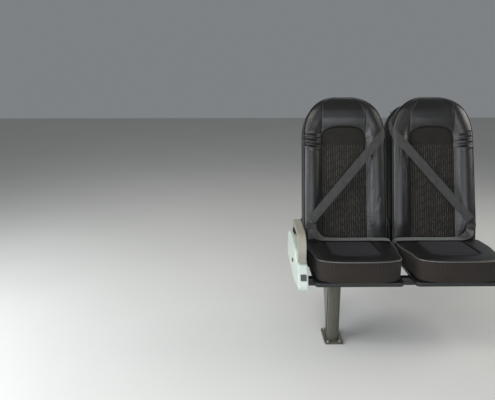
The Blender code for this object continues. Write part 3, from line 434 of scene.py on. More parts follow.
zincSteel = hardFinish("zincPlatedSteel", {
    "dark": "#8C8D88", "light": "#B4B4AC", "rubbed": "#6E6D68", "wear": 0.6, "rough": 0.38, "metallic": 1.0,
    "driftSize": 0.02, "grainSize": 0.0015, "bump": 0.2})
redAbs = hardFinish("redMouldedAbs", {
    "dark": "#3E1712", "light": "#501F19", "rubbed": "#6E3A32", "wear": 0.5, "rough": 0.38, "ior": 1.53,
    "driftSize": 0.02, "grainSize": 0.0016, "bump": 0.15})
studioPaint = hardFinish("mattStudioFloorPaint", {
    "dark": "#C9C8C4", "light": "#D3D2CE", "rubbed": "#D3D2CE", "wear": 0.0, "rough": 0.85, "ior": 1.45,
    "driftSize": 0.9, "grainSize": 0.01, "bump": 0.05})
print("stage: materials")


# back upholstery

backShape = {
    "pivotY": 0.3016, "pivotZ": 0.3779, "lean": math.radians(18),
    "foot": 0.020, "shoulder": 0.600, "top": 0.826, "halfFoot": 0.2265, "taper": 0.005,
    "front": 0.060, "rear": 0.030, "middle": 0.012, "roundStart": 0.735, "crownPower": 2.25,
    "crownEnd": 0.985, "lowStep": 0.007, "crownRows": 44,
    # share of the half width, of the bolster, of the head's swell
    "frontShares": ((0.00, 0.00, 1.00), (0.28, 0.00, 0.98), (0.50, 0.02, 0.90), (0.57, 0.18, 0.82),
                    (0.66, 0.72, 0.68), (0.78, 1.00, 0.52), (0.90, 0.90, 0.28), (0.975, 0.52, 0.08)),
    "rearShares": ((1.00, 0.22), (1.00, 0.70), (0.97, 0.93), (0.88, 1.00), (0.45, 1.00)),
    "spans": (7, 6, 3, 5, 4, 4, 4, 3, 5, 3, 3, 6, 6),
}
insertShape = {"half": 0.120, "sideTop": 0.588, "rise": 0.064, "power": 2.6, "seams": (0.555, 0.350)}


def halfWidth(z):
    b = backShape
    turn = min(max((z - b["shoulder"]) / (b["top"] - b["shoulder"]), 0.0), 1.0)
    width = b["halfFoot"] - b["taper"] * min(z, b["shoulder"]) / b["shoulder"]
    return width * (1 - turn ** b["crownPower"]) ** (1 / b["crownPower"])


def bolsterHeight(z):
    return float((0.008 + 0.028 * ease(z, 0.020, 0.150)) * (1 - 0.65 * ease(z, 0.560, 0.710)))


def squeezed(y, z):
    b = backShape
    turn = min(max((z - b["roundStart"]) / (b["top"] - b["roundStart"]), 0.0), 1.0)
    return -b["middle"] + (y + b["middle"]) * math.sqrt(max(1 - turn * turn, 0.0))


def frontPoint(shares, z):
    across, raised, swollen = shares
    y = -backShape["front"] - raised * bolsterHeight(z) - swollen * 0.030 * float(ease(z, 0.600, 0.705))
    return (across * halfWidth(z), squeezed(y, z), z)


def rearPoint(shares, z):
    across, deep = shares
    y = -backShape["front"] + deep * (backShape["front"] + backShape["rear"])
    return (across * halfWidth(z), squeezed(y, z), z)


def hideRing(z):
    right = [frontPoint(s, z) for s in backShape["frontShares"]]
    right += [rearPoint(s, z) for s in backShape["rearShares"]]
    left = [(-x, y, up) for x, y, up in reversed(right[1:])]
    spans = backShape["spans"]
    ring = right + [(0.0, squeezed(backShape["rear"], z), z)] + left
    return smoothLine(ring, spans + tuple(reversed(spans)), closed=True)


def hideHeights():
    b = backShape
    low = np.arange(b["foot"], b["shoulder"] - b["lowStep"] / 2, b["lowStep"])
    turns = np.linspace(0, math.pi / 2 * b["crownEnd"], b["crownRows"])
    return np.concatenate([low, b["shoulder"] + (b["top"] - b["shoulder"]) * np.sin(turns)])


def frontAt(u, z):
    # how far forward the back's face stands at a place on it
    ring = hideRing(z)
    count = sum(backShape["spans"][:8])
    half = ring[:count]
    return np.interp(np.abs(u), half[:, 0], half[:, 1])


def insertEdge(u, z):
    # distance from the insert's outline, less than 0 inside
    s = insertShape
    a, b = np.abs(u) / s["half"], np.maximum(z - s["sideTop"], 0.0) / s["rise"]
    r = np.maximum((a ** s["power"] + b ** s["power"]) ** (1 / s["power"]), 1e-6)
    slope = np.hypot(a ** (s["power"] - 1) / s["half"], b ** (s["power"] - 1) / s["rise"]) * r ** (1 - s["power"])
    arch = (r - 1) / np.maximum(slope, 1e-3)
    return np.where(z < s["sideTop"], np.abs(u) - s["half"], arch)


def insertHalf(z):
    s = insertShape
    if z <= s["sideTop"]:
        return s["half"]
    rise = min((z - s["sideTop"]) / s["rise"], 1.0)
    return s["half"] * (1 - rise ** s["power"]) ** (1 / s["power"])


def backPlace(seatX):
    b = backShape
    return Matrix.Translation((seatX, b["pivotY"], b["pivotZ"])) @ Matrix.Rotation(-b["lean"], 4, "X")


stuffing = {"pressure": 4.0, "shrink": 0.002, "stretch": 15.0, "bend": 20.0, "frames": 20, "ironing": 4,
            "backCap": 0.0060, "cushionCap": 0.0080}


def inflate(jobs):
    # cloth under a little pressure: each pad swells between the places where it is sewn or glued
    scene = bpy.context.scene
    starts = []
    for piece, held, cap, rows in jobs:
        starts.append(getPoints(piece))
        group = piece.vertex_groups.new(name="held")
        for index, weight in enumerate(held):
            group.add([index], float(weight), "REPLACE")
        cloth = piece.modifiers.new("stuffing", "CLOTH")
        cloth.settings.quality = 4
        cloth.settings.mass = 0.4
        cloth.settings.tension_stiffness = cloth.settings.compression_stiffness = stuffing["stretch"]
        cloth.settings.bending_stiffness = stuffing["bend"]
        cloth.settings.use_pressure = True
        cloth.settings.uniform_pressure_force = stuffing["pressure"]
        cloth.settings.shrink_min = stuffing["shrink"]
        cloth.settings.vertex_group_mass = "held"
        cloth.settings.effector_weights.gravity = 0.0
        cloth.collision_settings.use_collision = False
    for number in range(1, stuffing["frames"] + 1):
        scene.frame_set(number)
    for (piece, held, cap, rows), start in zip(jobs, starts):
        settle(piece)
        moved = getPoints(piece) - start
        length = np.linalg.norm(moved, axis=1)[:, None]
        moved *= np.minimum(1.0, cap / np.maximum(length, 1e-9))
        print("  ", piece.name, "moved by at most", round(float(length.max()) * 1000, 1), "mm")
        grid = moved.reshape(rows, -1, 3)
        for _ in range(stuffing["ironing"]):  # taut leather shows no ripple finer than its seams
            grid = grid * 0.5 + (np.roll(grid, 1, axis=1) + np.roll(grid, -1, axis=1)) * 0.25
            grid[1:-1] = grid[1:-1] * 0.5 + (grid[:-2] + grid[2:]) * 0.25
        moved = grid.reshape(-1, 3)
        setPoints(piece, start + moved)
        piece.vertex_groups.clear()
    scene.frame_set(1)


def backHeld(points):
    # glued to the frame at the rear and foot, sewn along the seams and round the insert
    u, y, z = points.T
    face = y < -0.030
    held = np.where(face, 0.0, ease(y, -0.045, -0.010))
    edge = insertEdge(u, z)
    held = np.maximum(held, np.where(face, ease(-edge, -0.010, 0.0), 0.0))
    seam = np.exp(-(((np.abs(u) - insertShape["half"]) / 0.008) ** 2)) * (z > 0.6) * face
    held = np.maximum(held, seam * 0.9)
    held = np.maximum(held, 1 - ease(z, 0.020, 0.040))
    return np.maximum(held, ease(z, 0.790, 0.815))


def uneven(points, size, seed):
    # slow unevenness of a stuffed surface, from a few crossing waves
    dice = np.random.default_rng(seed)
    total = np.zeros(len(points))
    for _ in range(7):
        direction = dice.normal(size=3)
        direction *= 2 * math.pi / (size * dice.uniform(0.7, 1.6)) / np.linalg.norm(direction)
        total += np.sin(points @ direction + dice.uniform(0, 6.28))
    return total / 7


hideDetail = {
    "seamDepth": 0.0030, "seamWidth": 0.0042, "headSeamDepth": 0.0020, "headSeamWidth": 0.0042, "panelSink": 0.013,
    "puckerDepth": 0.0009, "puckerPitch": 0.031, "unevenDepth": 0.0013, "unevenSize": 0.110,
    # folds on the outer bolster: height, depth, half width, slope
    "folds": ((0.617, 0.0050, 0.0075, 0.04), (0.590, 0.0070, 0.0085, 0.06), (0.555, 0.0075, 0.0085, 0.08)),
    # creases on the inner bolster: place across, height, length, depth, half width, slant
    "creases": {
        "aisle": ((0.166, 0.200, 0.050, 0.0012, 0.0075, 0.5), (0.180, 0.262, 0.045, 0.0010, 0.0070, 0.8),
                  (0.150, 0.310, 0.045, 0.0009, 0.0070, 0.3), (0.150, 0.120, 0.050, 0.0010, 0.0080, 0.6)),
        "window": ((0.150, 0.470, 0.090, 0.0022, 0.0050, -0.10), (0.166, 0.430, 0.070, 0.0022, 0.0050, 0.12),
                   (0.182, 0.500, 0.060, 0.0018, 0.0050, -0.05), (0.157, 0.330, 0.060, 0.0016, 0.0050, 0.15)),
    },
}


def hideOffset(points, normals, seatName):
    # seams, folds and creases of one hide, as moves along its normals; outer bolster at -u on the aisle
    d = hideDetail
    inner = seats[seatName]["inner"]
    u, y, z = points.T
    across = u * inner  # more than 0 on the inner bolster
    face = ease(-normals[:, 1], 0.15, 0.55)
    edge = insertEdge(u, z)
    move = -d["seamDepth"] * np.exp(-((edge / d["seamWidth"]) ** 2)) * face
    move -= d["panelSink"] * ease(-edge, 0.0, 0.007) * (y < -0.02)
    beside = np.abs(np.abs(u) - insertShape["half"])
    head = ease(z, 0.600, 0.625)
    move -= d["headSeamDepth"] * np.exp(-((beside / d["headSeamWidth"]) ** 2)) * head * face
    outside = np.clip(edge, 0.0, None)
    pucker = np.sin(2 * math.pi * z / d["puckerPitch"] + 2.0 * np.sin(z * 41)) * np.exp(-outside / 0.018)
    move -= d["puckerDepth"] * (0.5 + 0.5 * pucker) * face * ease(outside, 0.002, 0.008)
    around = ease(-across, 0.108, 0.168) * (1 - ease(y, -0.050, -0.010))
    for level, depth, width, slope in d["folds"]:
        line = level + slope * (-across - 0.17) + 0.002 * np.sin(across * 50)
        off = (z - line) / width
        fold = -depth * np.exp(-off**2) + 0.40 * depth * np.exp(-((off + 1.8) ** 2))  # the bulge hangs below
        move += fold * around
    for place, level, length, depth, width, slant in d["creases"][seatName]:
        line = place + slant * (z - level) * 0.5 + 0.002 * np.sin(z * 160)
        off = (across - line) / width
        end = np.exp(-(((z - level) / length) ** 2))
        move += depth * (0.6 * np.exp(-((np.abs(off) - 1.6) ** 2)) - np.exp(-off**2)) * end * face
    move += d["unevenDepth"] * uneven(points, d["unevenSize"], 11 if inner > 0 else 12) * (0.35 + 0.65 * face)
    return move


panelShape = {"foot": 0.022, "sink": 0.0030, "crown": 0.0050, "crownReach": 0.070, "thickness": 0.010, "columns": 41,
              "seamDepth": 0.0042, "seamWidth": 0.0060, "edgeRound": 0.014, "edgeDrop": 0.004, "gap": 0.0006,
              "bunching": 0.92, "archEnd": 0.97, "archRows": 20}


def panelRow(half):
    # places across an insert, closer together near its two edges
    bunching = panelShape["bunching"]
    turn = np.linspace(-math.pi / 2, math.pi / 2, panelShape["columns"])
    return (half - panelShape["gap"]) * np.sin(turn * bunching) / math.sin(math.pi / 2 * bunching)


def archSteps():
    return insertShape["rise"] * np.sin(np.linspace(0, math.pi / 2 * panelShape["archEnd"], panelShape["archRows"]))


def backPanelRings():
    # the fabric insert: crowned, drawn down at its edge and at the two cross seams
    p, s = panelShape, insertShape
    top = s["sideTop"] + s["rise"]
    low = np.arange(p["foot"], s["sideTop"], 0.0065)
    rings = []
    for z in np.concatenate([low, s["sideTop"] + archSteps()]):
        u = panelRow(insertHalf(z))
        inside = np.minimum(-insertEdge(u, np.full(len(u), z)), z - p["foot"] + 0.004)
        y = frontAt(u, z) + p["sink"] - p["crown"] * ease(inside, 0.0, p["crownReach"])
        y = y - p["edgeDrop"] * ease(inside, 0.0, p["edgeRound"])
        y = y + 0.0025 * (1 - ease(top - z, 0.0, 0.02))
        for seam in s["seams"]:
            y = y + p["seamDepth"] * math.exp(-(((z - seam) / p["seamWidth"]) ** 2))
        front = [(a, b, z) for a, b in zip(u, y)]
        back = [(a, b + p["thickness"], z) for a, b in zip(u[::-1], frontAt(u[::-1], z))]
        rings.append(front + back)
    return rings


def finerHide(name, base, rows, seat, finishes):
    # a finer copy of a stuffed pad; the window place has the mirror of the aisle place
    hide = loft(name, refined(getPoints(base).reshape(rows, -1, 3)), finishes)
    if seat["inner"] < 0:
        setPoints(hide, getPoints(hide) * (-1, 1, 1))
        hide.data.flip_normals()
    return hide


def buildBackHide(name, base):
    seat = seats[name]
    hide = finerHide(f"{name}BackHide", base, len(hideHeights()), seat, [hideLeather])
    points, normals = getPoints(hide), getNormals(hide)
    setPoints(hide, points + normals * hideOffset(points, normals, name)[:, None])
    hide.matrix_world = backPlace(seat["x"])
    return hide


def stitchParts(tree, line, pitch, length, radius):
    # one stitch after another along a line of (u, z) places, lying on the surface seen from the front
    line = np.asarray(line)
    steps = distancesAlong(line)
    parts = []
    for at in np.arange(pitch, steps[-1] - pitch, pitch):
        ends = []
        for side in (-0.5, 0.0, 0.5):
            where = at + side * length
            u, z = np.interp(where, steps, line[:, 0]), np.interp(where, steps, line[:, 1])
            hit, normal, _, _ = tree.ray_cast(Vector((u, -0.4, z)), Vector((0, 1, 0)))
            if hit is None:
                break
            ends.append(hit + normal * (radius * (0.9 if side == 0 else 0.1)))
        if len(ends) < 3:
            continue
        sides = stitchShape["sides"]
        rings = tubeRings(smoothLine([tuple(p) for p in ends], 2), radius, sides)
        parts.append(([p for ring in rings for p in ring], ringFaces(len(rings), sides)))
    return parts


stitchShape = {"pitch": 0.0062, "length": 0.0046, "radius": 0.0005, "beside": 0.0065, "sides": 6}


def seamLines():
    # the rows of stitching beside the seams of a back, in its own (u, z)
    s, beside = insertShape, stitchShape["beside"]
    lines = []
    for side in (-1, 1):
        lines.append([(side * (s["half"] + beside), z) for z in np.linspace(0.06, 0.775, 90)])
        lines.append([(side * (s["half"] - beside), z) for z in np.linspace(0.640, 0.785, 30)])
    turns = np.linspace(0.16, math.pi - 0.16, 60)
    power = 2 / s["power"]
    half, rise = s["half"] + beside * 0.2, s["rise"] + beside
    arch = [(math.copysign(abs(math.cos(t)) ** power, math.cos(t)) * half,
             s["sideTop"] + rise * math.sin(t) ** power) for t in turns]
    lines.append([p for p in arch if abs(p[0]) < s["half"] - beside])
    return lines


def weltPath(radius):
    # up one side of the hide's front edge, over the crown and down the other
    right = []
    for z in hideHeights()[3::2]:
        u, y, _ = frontPoint((0.985, 0.46, 0.07), z)
        right.append((u + radius * 0.3, y - radius * 0.2, z))
    left = [(-u, y, z) for u, y, z in reversed(right)]
    return right + left


baseHide = loft("baseHide", [hideRing(z) for z in hideHeights()], [hideLeather])
print("stage: back form")


# cushions

cushionShape = {
    "front": -0.165, "cornerY": -0.075, "fullY": 0.120, "rear": 0.232, "rearCorner": 0.020,
    "frontTop": 0.482, "rearTop": 0.446, "bottom": 0.367, "halfFront": 0.205, "halfRear": 0.227, "power": 3.0,
    "insertRear": 0.185, "insertFront": -0.028,
    # share of the height, share of the plan about the middle: bottom edge up to the piping, then over the top
    "side": ((0.00, 0.930), (0.03, 0.975), (0.10, 0.996), (0.30, 1.000), (0.45, 1.001), (0.60, 1.000),
             (0.72, 0.999), (0.81, 0.997), (0.87, 0.995), (0.91, 0.994), (0.94, 0.992)),
    "top": ((0.968, 0.986), (0.990, 0.972), (1.010, 0.948), (1.026, 0.915), (1.037, 0.875), (1.043, 0.830)),
    "crown": 0.003, "clothShare": 0.95, "pipingShare": 0.957, "pipingPlan": 0.996, "pipingRadius": 0.0030,
}


def cushionTop(y):
    c = cushionShape
    return c["frontTop"] + (c["rearTop"] - c["frontTop"]) * (y - c["front"]) / (c["rear"] - c["front"])


def cushionLevel(y, share):
    low = cushionShape["bottom"]
    return low + share * (cushionTop(y) - low)


def cushionOutline():
    # right half from the middle of the front round to the rear, then mirrored into a closed loop, evenly spaced
    c = cushionShape
    depth, power = c["cornerY"] - c["front"], 2 / c["power"]
    half = []
    for turn in np.linspace(0, math.pi / 2, 40):
        half.append((c["halfFront"] * math.sin(turn) ** power, c["cornerY"] - depth * max(math.cos(turn), 0) ** power))
    end = c["rear"] - c["rearCorner"]
    for y in np.linspace(c["cornerY"], end, 30)[1:]:
        half.append((c["halfFront"] + (c["halfRear"] - c["halfFront"]) * float(ease(y, c["cornerY"], c["fullY"])), y))
    for turn in np.linspace(0, math.pi / 2, 8)[1:]:
        half.append((c["halfRear"] - c["rearCorner"] * (1 - math.cos(turn)), end + c["rearCorner"] * math.sin(turn)))
    half.append((0.0, c["rear"]))
    loop = np.array(half + [(-x, y) for x, y in reversed(half[1:-1])])
    closed = np.vstack([loop, loop[:1]])
    steps = distancesAlong(closed)
    places = np.linspace(0, steps[-1], 176, endpoint=False)
    return np.column_stack([np.interp(places, steps, closed[:, 0]), np.interp(places, steps, closed[:, 1])])


def cushionRings():
    c = cushionShape
    outline = cushionOutline()
    middle = (c["front"] + c["rear"]) / 2
    levels = [(h, s, 0.0) for h, s in c["side"] + c["top"]]
    for share in np.linspace(0.78, 0.04, 16):
        levels.append((1.043, share, c["crown"] * float(ease(0.85 - share, 0.0, 0.5))))
    rings = []
    for height, share, crown in levels:
        x = outline[:, 0] * share
        y = middle + (outline[:, 1] - middle) * share
        z = c["bottom"] + (cushionTop(y) - c["bottom"]) * height + crown
        rings.append(np.column_stack([x, y, z]))
    return rings


def cushionEdge(u, y):
    # distance from the cushion insert's outline, less than 0 inside
    c = cushionShape
    return np.maximum(insertEdge(u, insertShape["sideTop"] + c["insertFront"] - y), y - c["insertRear"])


def cushionHeld(points):
    u, y, z = points.T
    held = 1 - ease(z, 0.372, 0.392)
    up = z > cushionTop(y) - 0.004
    held = np.maximum(held, np.where(up, ease(-cushionEdge(u, y), -0.006, 0.004), 0.0))
    rim = np.abs(z - cushionLevel(y, 0.94)) < 0.005
    return np.maximum(held, np.where(rim, 0.8, 0.0))


cushionDetail = {"gatherDepth": 0.0018, "gatherPitch": 0.0135, "gatherReach": 0.020, "pleatPlace": 0.085,
                 "pleatSpread": 0.050, "pleatDepth": 0.0034, "pleatReach": 0.026, "seamDepth": 0.0040,
                 "seamWidth": 0.0050, "panelSink": 0.011, "unevenDepth": 0.0016, "unevenSize": 0.075}


def cushionOffset(points, normals, seed):
    d, c = cushionDetail, cushionShape
    u, y, z = points.T
    upward = ease(normals[:, 2], 0.3, 0.8)
    sideways = 1 - ease(np.abs(normals[:, 2]), 0.4, 0.8)
    edge = cushionEdge(u, y)
    move = -d["seamDepth"] * np.exp(-((edge / d["seamWidth"]) ** 2)) * upward
    move -= d["panelSink"] * ease(-edge, 0.0, 0.007) * upward
    below = np.clip(cushionLevel(y, c["clothShare"]) - z, 0.0, None)
    round_ = np.arctan2(u, -(y - 0.03)) * 0.20  # metres round the cushion, near enough for gathers
    gathers = np.sin(2 * math.pi * round_ / d["gatherPitch"] + 3 * np.sin(round_ * 25))
    tight = sideways * ease(below, 0.001, 0.006)
    move += d["gatherDepth"] * gathers * np.exp(-below / d["gatherReach"]) * tight
    fan = np.exp(-(((u - d["pleatPlace"]) / d["pleatSpread"]) ** 2)) * (y < 0)
    move += d["pleatDepth"] * gathers * fan * np.exp(-below / d["pleatReach"]) * tight
    move += d["unevenDepth"] * uneven(points, d["unevenSize"], seed) * np.maximum(upward, 0.6 * sideways)
    return move


def cushionPanelRings():
    # rows across the insert, from the rear to the tip of its arch
    c, s, p = cushionShape, insertShape, panelShape
    straight = np.linspace(c["insertRear"] - 0.001, c["insertFront"], 32, endpoint=False)
    rings = []
    for y in np.concatenate([straight, c["insertFront"] - archSteps()]):
        u = panelRow(insertHalf(s["sideTop"] + c["insertFront"] - y))
        inside = -cushionEdge(u, np.full(len(u), y))
        z = cushionTop(y) + 0.0040 + 0.0050 * ease(inside, 0.0, p["crownReach"])
        z = z + p["edgeDrop"] * ease(inside, 0.0, 0.012) - 0.003
        z = z + 0.0012 * np.sin(u * 60 + y * 20) * ease(inside, 0.0, 0.03) * 0.4
        top = [(a, y, b) for a, b in zip(u, z)]
        low = [(a, y, cushionTop(y) - 0.0065) for a in reversed(u)]
        rings.append(top + low)
    return rings


baseCushion = loft("baseCushion", cushionRings(), [hideLeather, boxingCloth])
inflate([
    (baseHide, backHeld(getPoints(baseHide)), stuffing["backCap"], len(hideHeights())),
    (baseCushion, cushionHeld(getPoints(baseCushion)), stuffing["cushionCap"], len(cushionRings())),
])
print("stage: pads stuffed")

backHides = {}
for name, seat in seats.items():
    body = f"{name}_back"
    hide = buildBackHide(name, baseHide)
    backHides[name] = hide
    fit(hide, body, f"{name}_back_leather")

    panel = loft(f"{name}BackPanel", backPanelRings(), [backPlush])
    panel.matrix_world = backPlace(seat["x"])
    fit(panel, body, f"{name}_back_insert")

    welt = loft(f"{name}BackWelt", tubeRings(weltPath(0.0024), 0.0024), [hideLeather])
    welt.matrix_world = backPlace(seat["x"])
    fit(welt, body)

    tree = surfaceOf(hide)
    parts = []
    for line in seamLines():
        parts += stitchParts(tree, line, stitchShape["pitch"], stitchShape["length"], stitchShape["radius"])
    stitches = joined(f"{name}BackStitching", parts, [sewingThread])
    stitches.matrix_world = backPlace(seat["x"])
    fit(stitches, body)

cushionHides = {}
for name, seat in seats.items():
    hide = finerHide(f"{name}CushionHide", baseCushion, len(cushionRings()), seat, [hideLeather, boxingCloth])
    points, normals = getPoints(hide), getNormals(hide)
    setPoints(hide, points + normals * cushionOffset(points, normals, 21 if seat["inner"] > 0 else 22)[:, None])
    for face in hide.data.polygons:  # boxing cloth below the piping, leather above it
        face.material_index = 1 if face.center.z < cushionLevel(face.center.y, cushionShape["clothShare"]) else 0
    hide.location = (seat["x"], 0, 0)
    cushionHides[name] = hide
    fit(hide, "seat_frame", f"{name}_cushion")

    # turned so that its cloth's own height runs towards the front
    rings = np.asarray(cushionPanelRings())
    turned = np.stack([rings[..., 0], rings[..., 2], -rings[..., 1]], axis=-1)
    panel = loft(f"{name}CushionPanel", turned, [seatCloth])
    panel.data.flip_normals()
    panel.matrix_world = Matrix.Translation((seat["x"], 0, 0)) @ Matrix.Rotation(math.radians(90), 4, "X")
    fit(panel, "seat_frame", f"{name}_cushion_insert")

    outline = cushionOutline()
    c = cushionShape
    middle = (c["front"] + c["rear"]) / 2
    path = np.column_stack([outline[:, 0] * c["pipingPlan"], middle + (outline[:, 1] - middle) * c["pipingPlan"],
                            cushionLevel(outline[:, 1], c["pipingShare"])])
    piping = loft(f"{name}CushionPiping", tubeRings(path, c["pipingRadius"], 8, looped=True), [pipingLeather],
                  capped=False, looped=True)
    piping.location = (seat["x"], 0, 0)
    fit(piping, "seat_frame")
for base in (baseHide, baseCushion):
    bpy.data.objects.remove(base, do_unlink=True)
print("stage: upholstery")


# webbing

beltShape = {
    "width": 0.047, "thickness": 0.0018, "clearance": 0.0028, "startZ": 0.568, "steps": 44, "across": 9,
    "guideLow": 0.672, "riserOuter": 0.2350, "retractorHigh": 0.118,
    "buckleU": -0.186, "buckleFootY": 0.2300, "buckleFootZ": 0.4515, "buckleTilt": math.radians(-6),
    "buckleLength": 0.060, "tongueReach": 0.024, "tongueSlot": 0.006, "tongueThickness": 0.0025,
    "lapY": 0.1985, "beamTop": 0.3464, "spacing": 0.480, "centrePlate": 0.008, "gap": 0.0003, "offHide": 0.0016,
    "offCushion": 0.0014,
}


def ribbon(name, rows, outward, finish):
    # webbing through rows of points laid across it, with its lay in metres for the weave
    rows = asGrid(rows)
    count = rows.shape[1]
    middle = count // 2
    lengths = distancesAlong(rows[:, middle])
    rings = []
    for i, row in enumerate(rows):
        ahead = rows[min(i + 1, len(rows) - 1)][middle] - rows[max(i - 1, 0)][middle]
        normal = np.cross(row[-1] - row[0], ahead)
        normal /= np.linalg.norm(normal)
        if normal @ np.asarray(outward(row[middle]), float) < 0:
            normal = -normal
        thick = np.full(count, beltShape["thickness"])
        thick[[0, -1]] *= 0.7  # rounded selvedges
        rings.append(np.vstack([row, (row + normal * thick[:, None])[::-1]]))
    piece = loft(name, rings, [finish], sharpAngle=50)
    shares = np.linspace(0, beltShape["width"], count)
    columns = np.concatenate([shares, shares[::-1]])
    lay = piece.data.uv_layers.new(name="lay")
    for loop in piece.data.loops:
        ring, column = divmod(loop.vertex_index, 2 * count)
        lay.data[loop.index].uv = (columns[column], lengths[ring])
    return piece, float(lengths[-1])


def tautLine(z):
    h, clear = halfWidth(z), beltShape["clearance"]
    points = []
    for shares, out in zip(backShape["frontShares"][-3:], ((0.0, 1.0), (0.5, 0.87), (0.87, 0.5))):
        u, y, _ = frontPoint(shares, z)
        points.append((u + clear * out[0], y - clear * out[1]))
    points += [(h + clear, rearPoint(backShape["rearShares"][0], z)[1]), (h + clear, backShape["rear"])]
    return np.array([(0.0, points[0][1])] + points)


def alongLine(distance, z):
    points = tautLine(z)
    steps = distancesAlong(points)
    distance = min(distance, steps[-1])
    return Vector((np.interp(distance, steps, points[:, 0]), np.interp(distance, steps, points[:, 1]), z))


def onBuckle(reach):
    b = beltShape
    return Vector((0, b["buckleFootY"] - reach * math.sin(b["buckleTilt"]),
                   b["buckleFootZ"] + reach * math.cos(b["buckleTilt"])))


def tongueSlot():
    b = beltShape
    return onBuckle(b["buckleLength"] + b["tongueReach"] - b["tongueSlot"])


def diagonalRows():
    # round the back's inner edge below the guide, over the bolster, then straight down to the outer hip
    b = beltShape
    reach = b["width"] / 2
    crest = backShape["frontShares"][-3][0] * halfWidth(b["startZ"])
    slot = tongueSlot()
    y, z = slot.y - backShape["pivotY"] + b["tongueThickness"] + b["gap"], slot.z - backShape["pivotZ"]
    lean = backShape["lean"]
    end = Vector((b["buckleU"], y * math.cos(lean) - z * math.sin(lean),
                  y * math.sin(lean) + z * math.cos(lean) + reach))
    along = Vector((end.x - crest, 0, end.z - b["startZ"])).normalized()
    across = Vector((along.z, 0, -along.x)) * reach
    rise = abs(along.z / along.x)
    reachBack = distancesAlong(tautLine(b["guideLow"]))[-1] - reach - crest
    shares = np.linspace(1, -1, b["across"])
    rows = []
    for i in range(b["steps"] + 1):
        step = reachBack + (across.x - reachBack) * i / b["steps"]
        middle = Vector((crest + step, 0, b["startZ"] + step * rise))
        rows.append([alongLine(p.x, p.z) for p in (middle + across * s for s in shares)])
    last = rows[-1]
    final = [end + across * s for s in shares]
    for share in np.linspace(0, 1, 27)[1:]:
        rows.append([a.lerp(c, share) for a, c in zip(last, final)])
    return rows


def clearOf(rows, trees, gap):
    # webbing that would sink into a pad is lifted onto it
    lifted = []
    for row in rows:
        newRow = []
        for point in row:
            for tree in trees:
                near, normal, _, distance = tree.find_nearest(point)
                if (point - near).dot(normal) < gap and distance < 0.03:
                    point = near + normal * gap
            newRow.append(point)
        lifted.append(newRow)
    return lifted


def smoothRows(rows, rounds):
    grid = asGrid(rows)
    for _ in range(rounds):
        grid[1:-1] = grid[1:-1] * 0.5 + (grid[:-2] + grid[2:]) * 0.25
    return [[Vector(p) for p in row] for row in grid]


def lapRows(seat):
    # from the tongue down to the cushion, across its rear and down its inner side
    b, c = beltShape, cushionShape
    reach = b["width"] / 2
    side = seat["inner"]
    restZ = cushionTop(b["lapY"]) + 0.012
    slot = tongueSlot()
    wall = b["spacing"] / 2 - b["centrePlate"] / 2 - b["gap"] - b["thickness"]
    frontY = slot.y - (b["tongueThickness"] + b["thickness"]) / 2 - b["gap"]
    fore = (0.0, reach, 0.0)
    table = (
        ((b["buckleU"], frontY, slot.z), (reach * 0.95, 0.0, 0.0)),
        ((b["buckleU"] + 0.006, frontY - 0.006, slot.z - 0.026), (reach * 0.93, 0.0, reach * 0.20)),
        ((b["buckleU"] + 0.022, b["lapY"] + 0.004, (slot.z + restZ) / 2 - 0.008),
         (reach * 0.6, reach * 0.55, reach * 0.55)),
        ((b["buckleU"] + 0.055, b["lapY"], restZ + 0.004), (reach * 0.2, reach * 0.95, reach * 0.15)),
        ((-0.070, b["lapY"], restZ), fore),
        ((0.0, b["lapY"] - 0.002, restZ), fore),
        ((0.120, b["lapY"], restZ), fore),
        ((c["halfRear"] - 0.016, b["lapY"], restZ - 0.002), fore),
        ((c["halfRear"] + 0.002, b["lapY"], restZ - 0.012), fore),
        ((wall, b["lapY"], restZ - 0.030), fore),
        ((wall, b["lapY"], b["beamTop"] + 0.030), fore),
        ((wall, b["lapY"], b["beamTop"] + 0.003), fore),
    )
    flat = smoothLine([centre + half for centre, half in table], 5)
    rows = []
    for values in flat:
        centre, half = Vector(values[:3]), Vector(values[3:])
        rows.append([Vector((side * p.x, p.y, p.z)) for p in
                     (centre + half * s for s in np.linspace(-1, 1, b["across"]))])
    return rows


for name, seat in seats.items():
    place = backPlace(seat["x"])
    side = seat["inner"]
    rows = [[Vector((side * p.x, p.y, p.z)) for p in row] for row in diagonalRows()]
    rows = clearOf(rows, [surfaceOf(backHides[name])], beltShape["offHide"])
    rows = clearOf(smoothRows(rows, 3), [surfaceOf(backHides[name])], beltShape["offHide"])
    rows = [[place @ p for p in row] for row in rows]
    diagonal, length = ribbon(f"{name}Diagonal", rows, lambda p: (0, -1, 0.1), beltWebbing)
    print("   ", name, "diagonal belt", round(length, 3), "m")
    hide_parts(f"{name}_shoulder_belt")
    last, before = rows[-1][4], rows[-9][4]
    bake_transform(diagonal)

    rows = lapRows(seat)
    rows = clearOf(rows, [surfaceOf(cushionHides[name])], beltShape["offCushion"])
    rows = clearOf(smoothRows(rows, 2), [surfaceOf(cushionHides[name])], beltShape["offCushion"])
    rows = [[p + Vector((seat["x"], 0, 0)) for p in row] for row in rows]
    lap, length = ribbon(f"{name}LapBelt", rows, lambda p: (0, -0.4, 1) if p[2] > 0.43 else (side, 0, 0.2),
                         beltWebbing)
    print("   ", name, "lap belt", round(length, 3), "m")
    fit(lap, "seat_frame", f"{name}_lap_belt")

    b = beltShape
    y = backShape["rear"] + b["gap"]
    u = side * (b["riserOuter"] - b["width"] / 2)
    shares = np.linspace(-1, 1, b["across"])
    rows = [[place @ Vector((u + s * b["width"] / 2, y, z)) for s in shares]
            for z in np.linspace(b["retractorHigh"] + b["gap"], b["guideLow"] - b["gap"], 24)]
    riser, length = ribbon(f"{name}Riser", rows, lambda p: (0, 1, 0), beltWebbing)
    fit(riser, f"{name}_back", f"{name}_belt_riser")
print("stage: webbing")


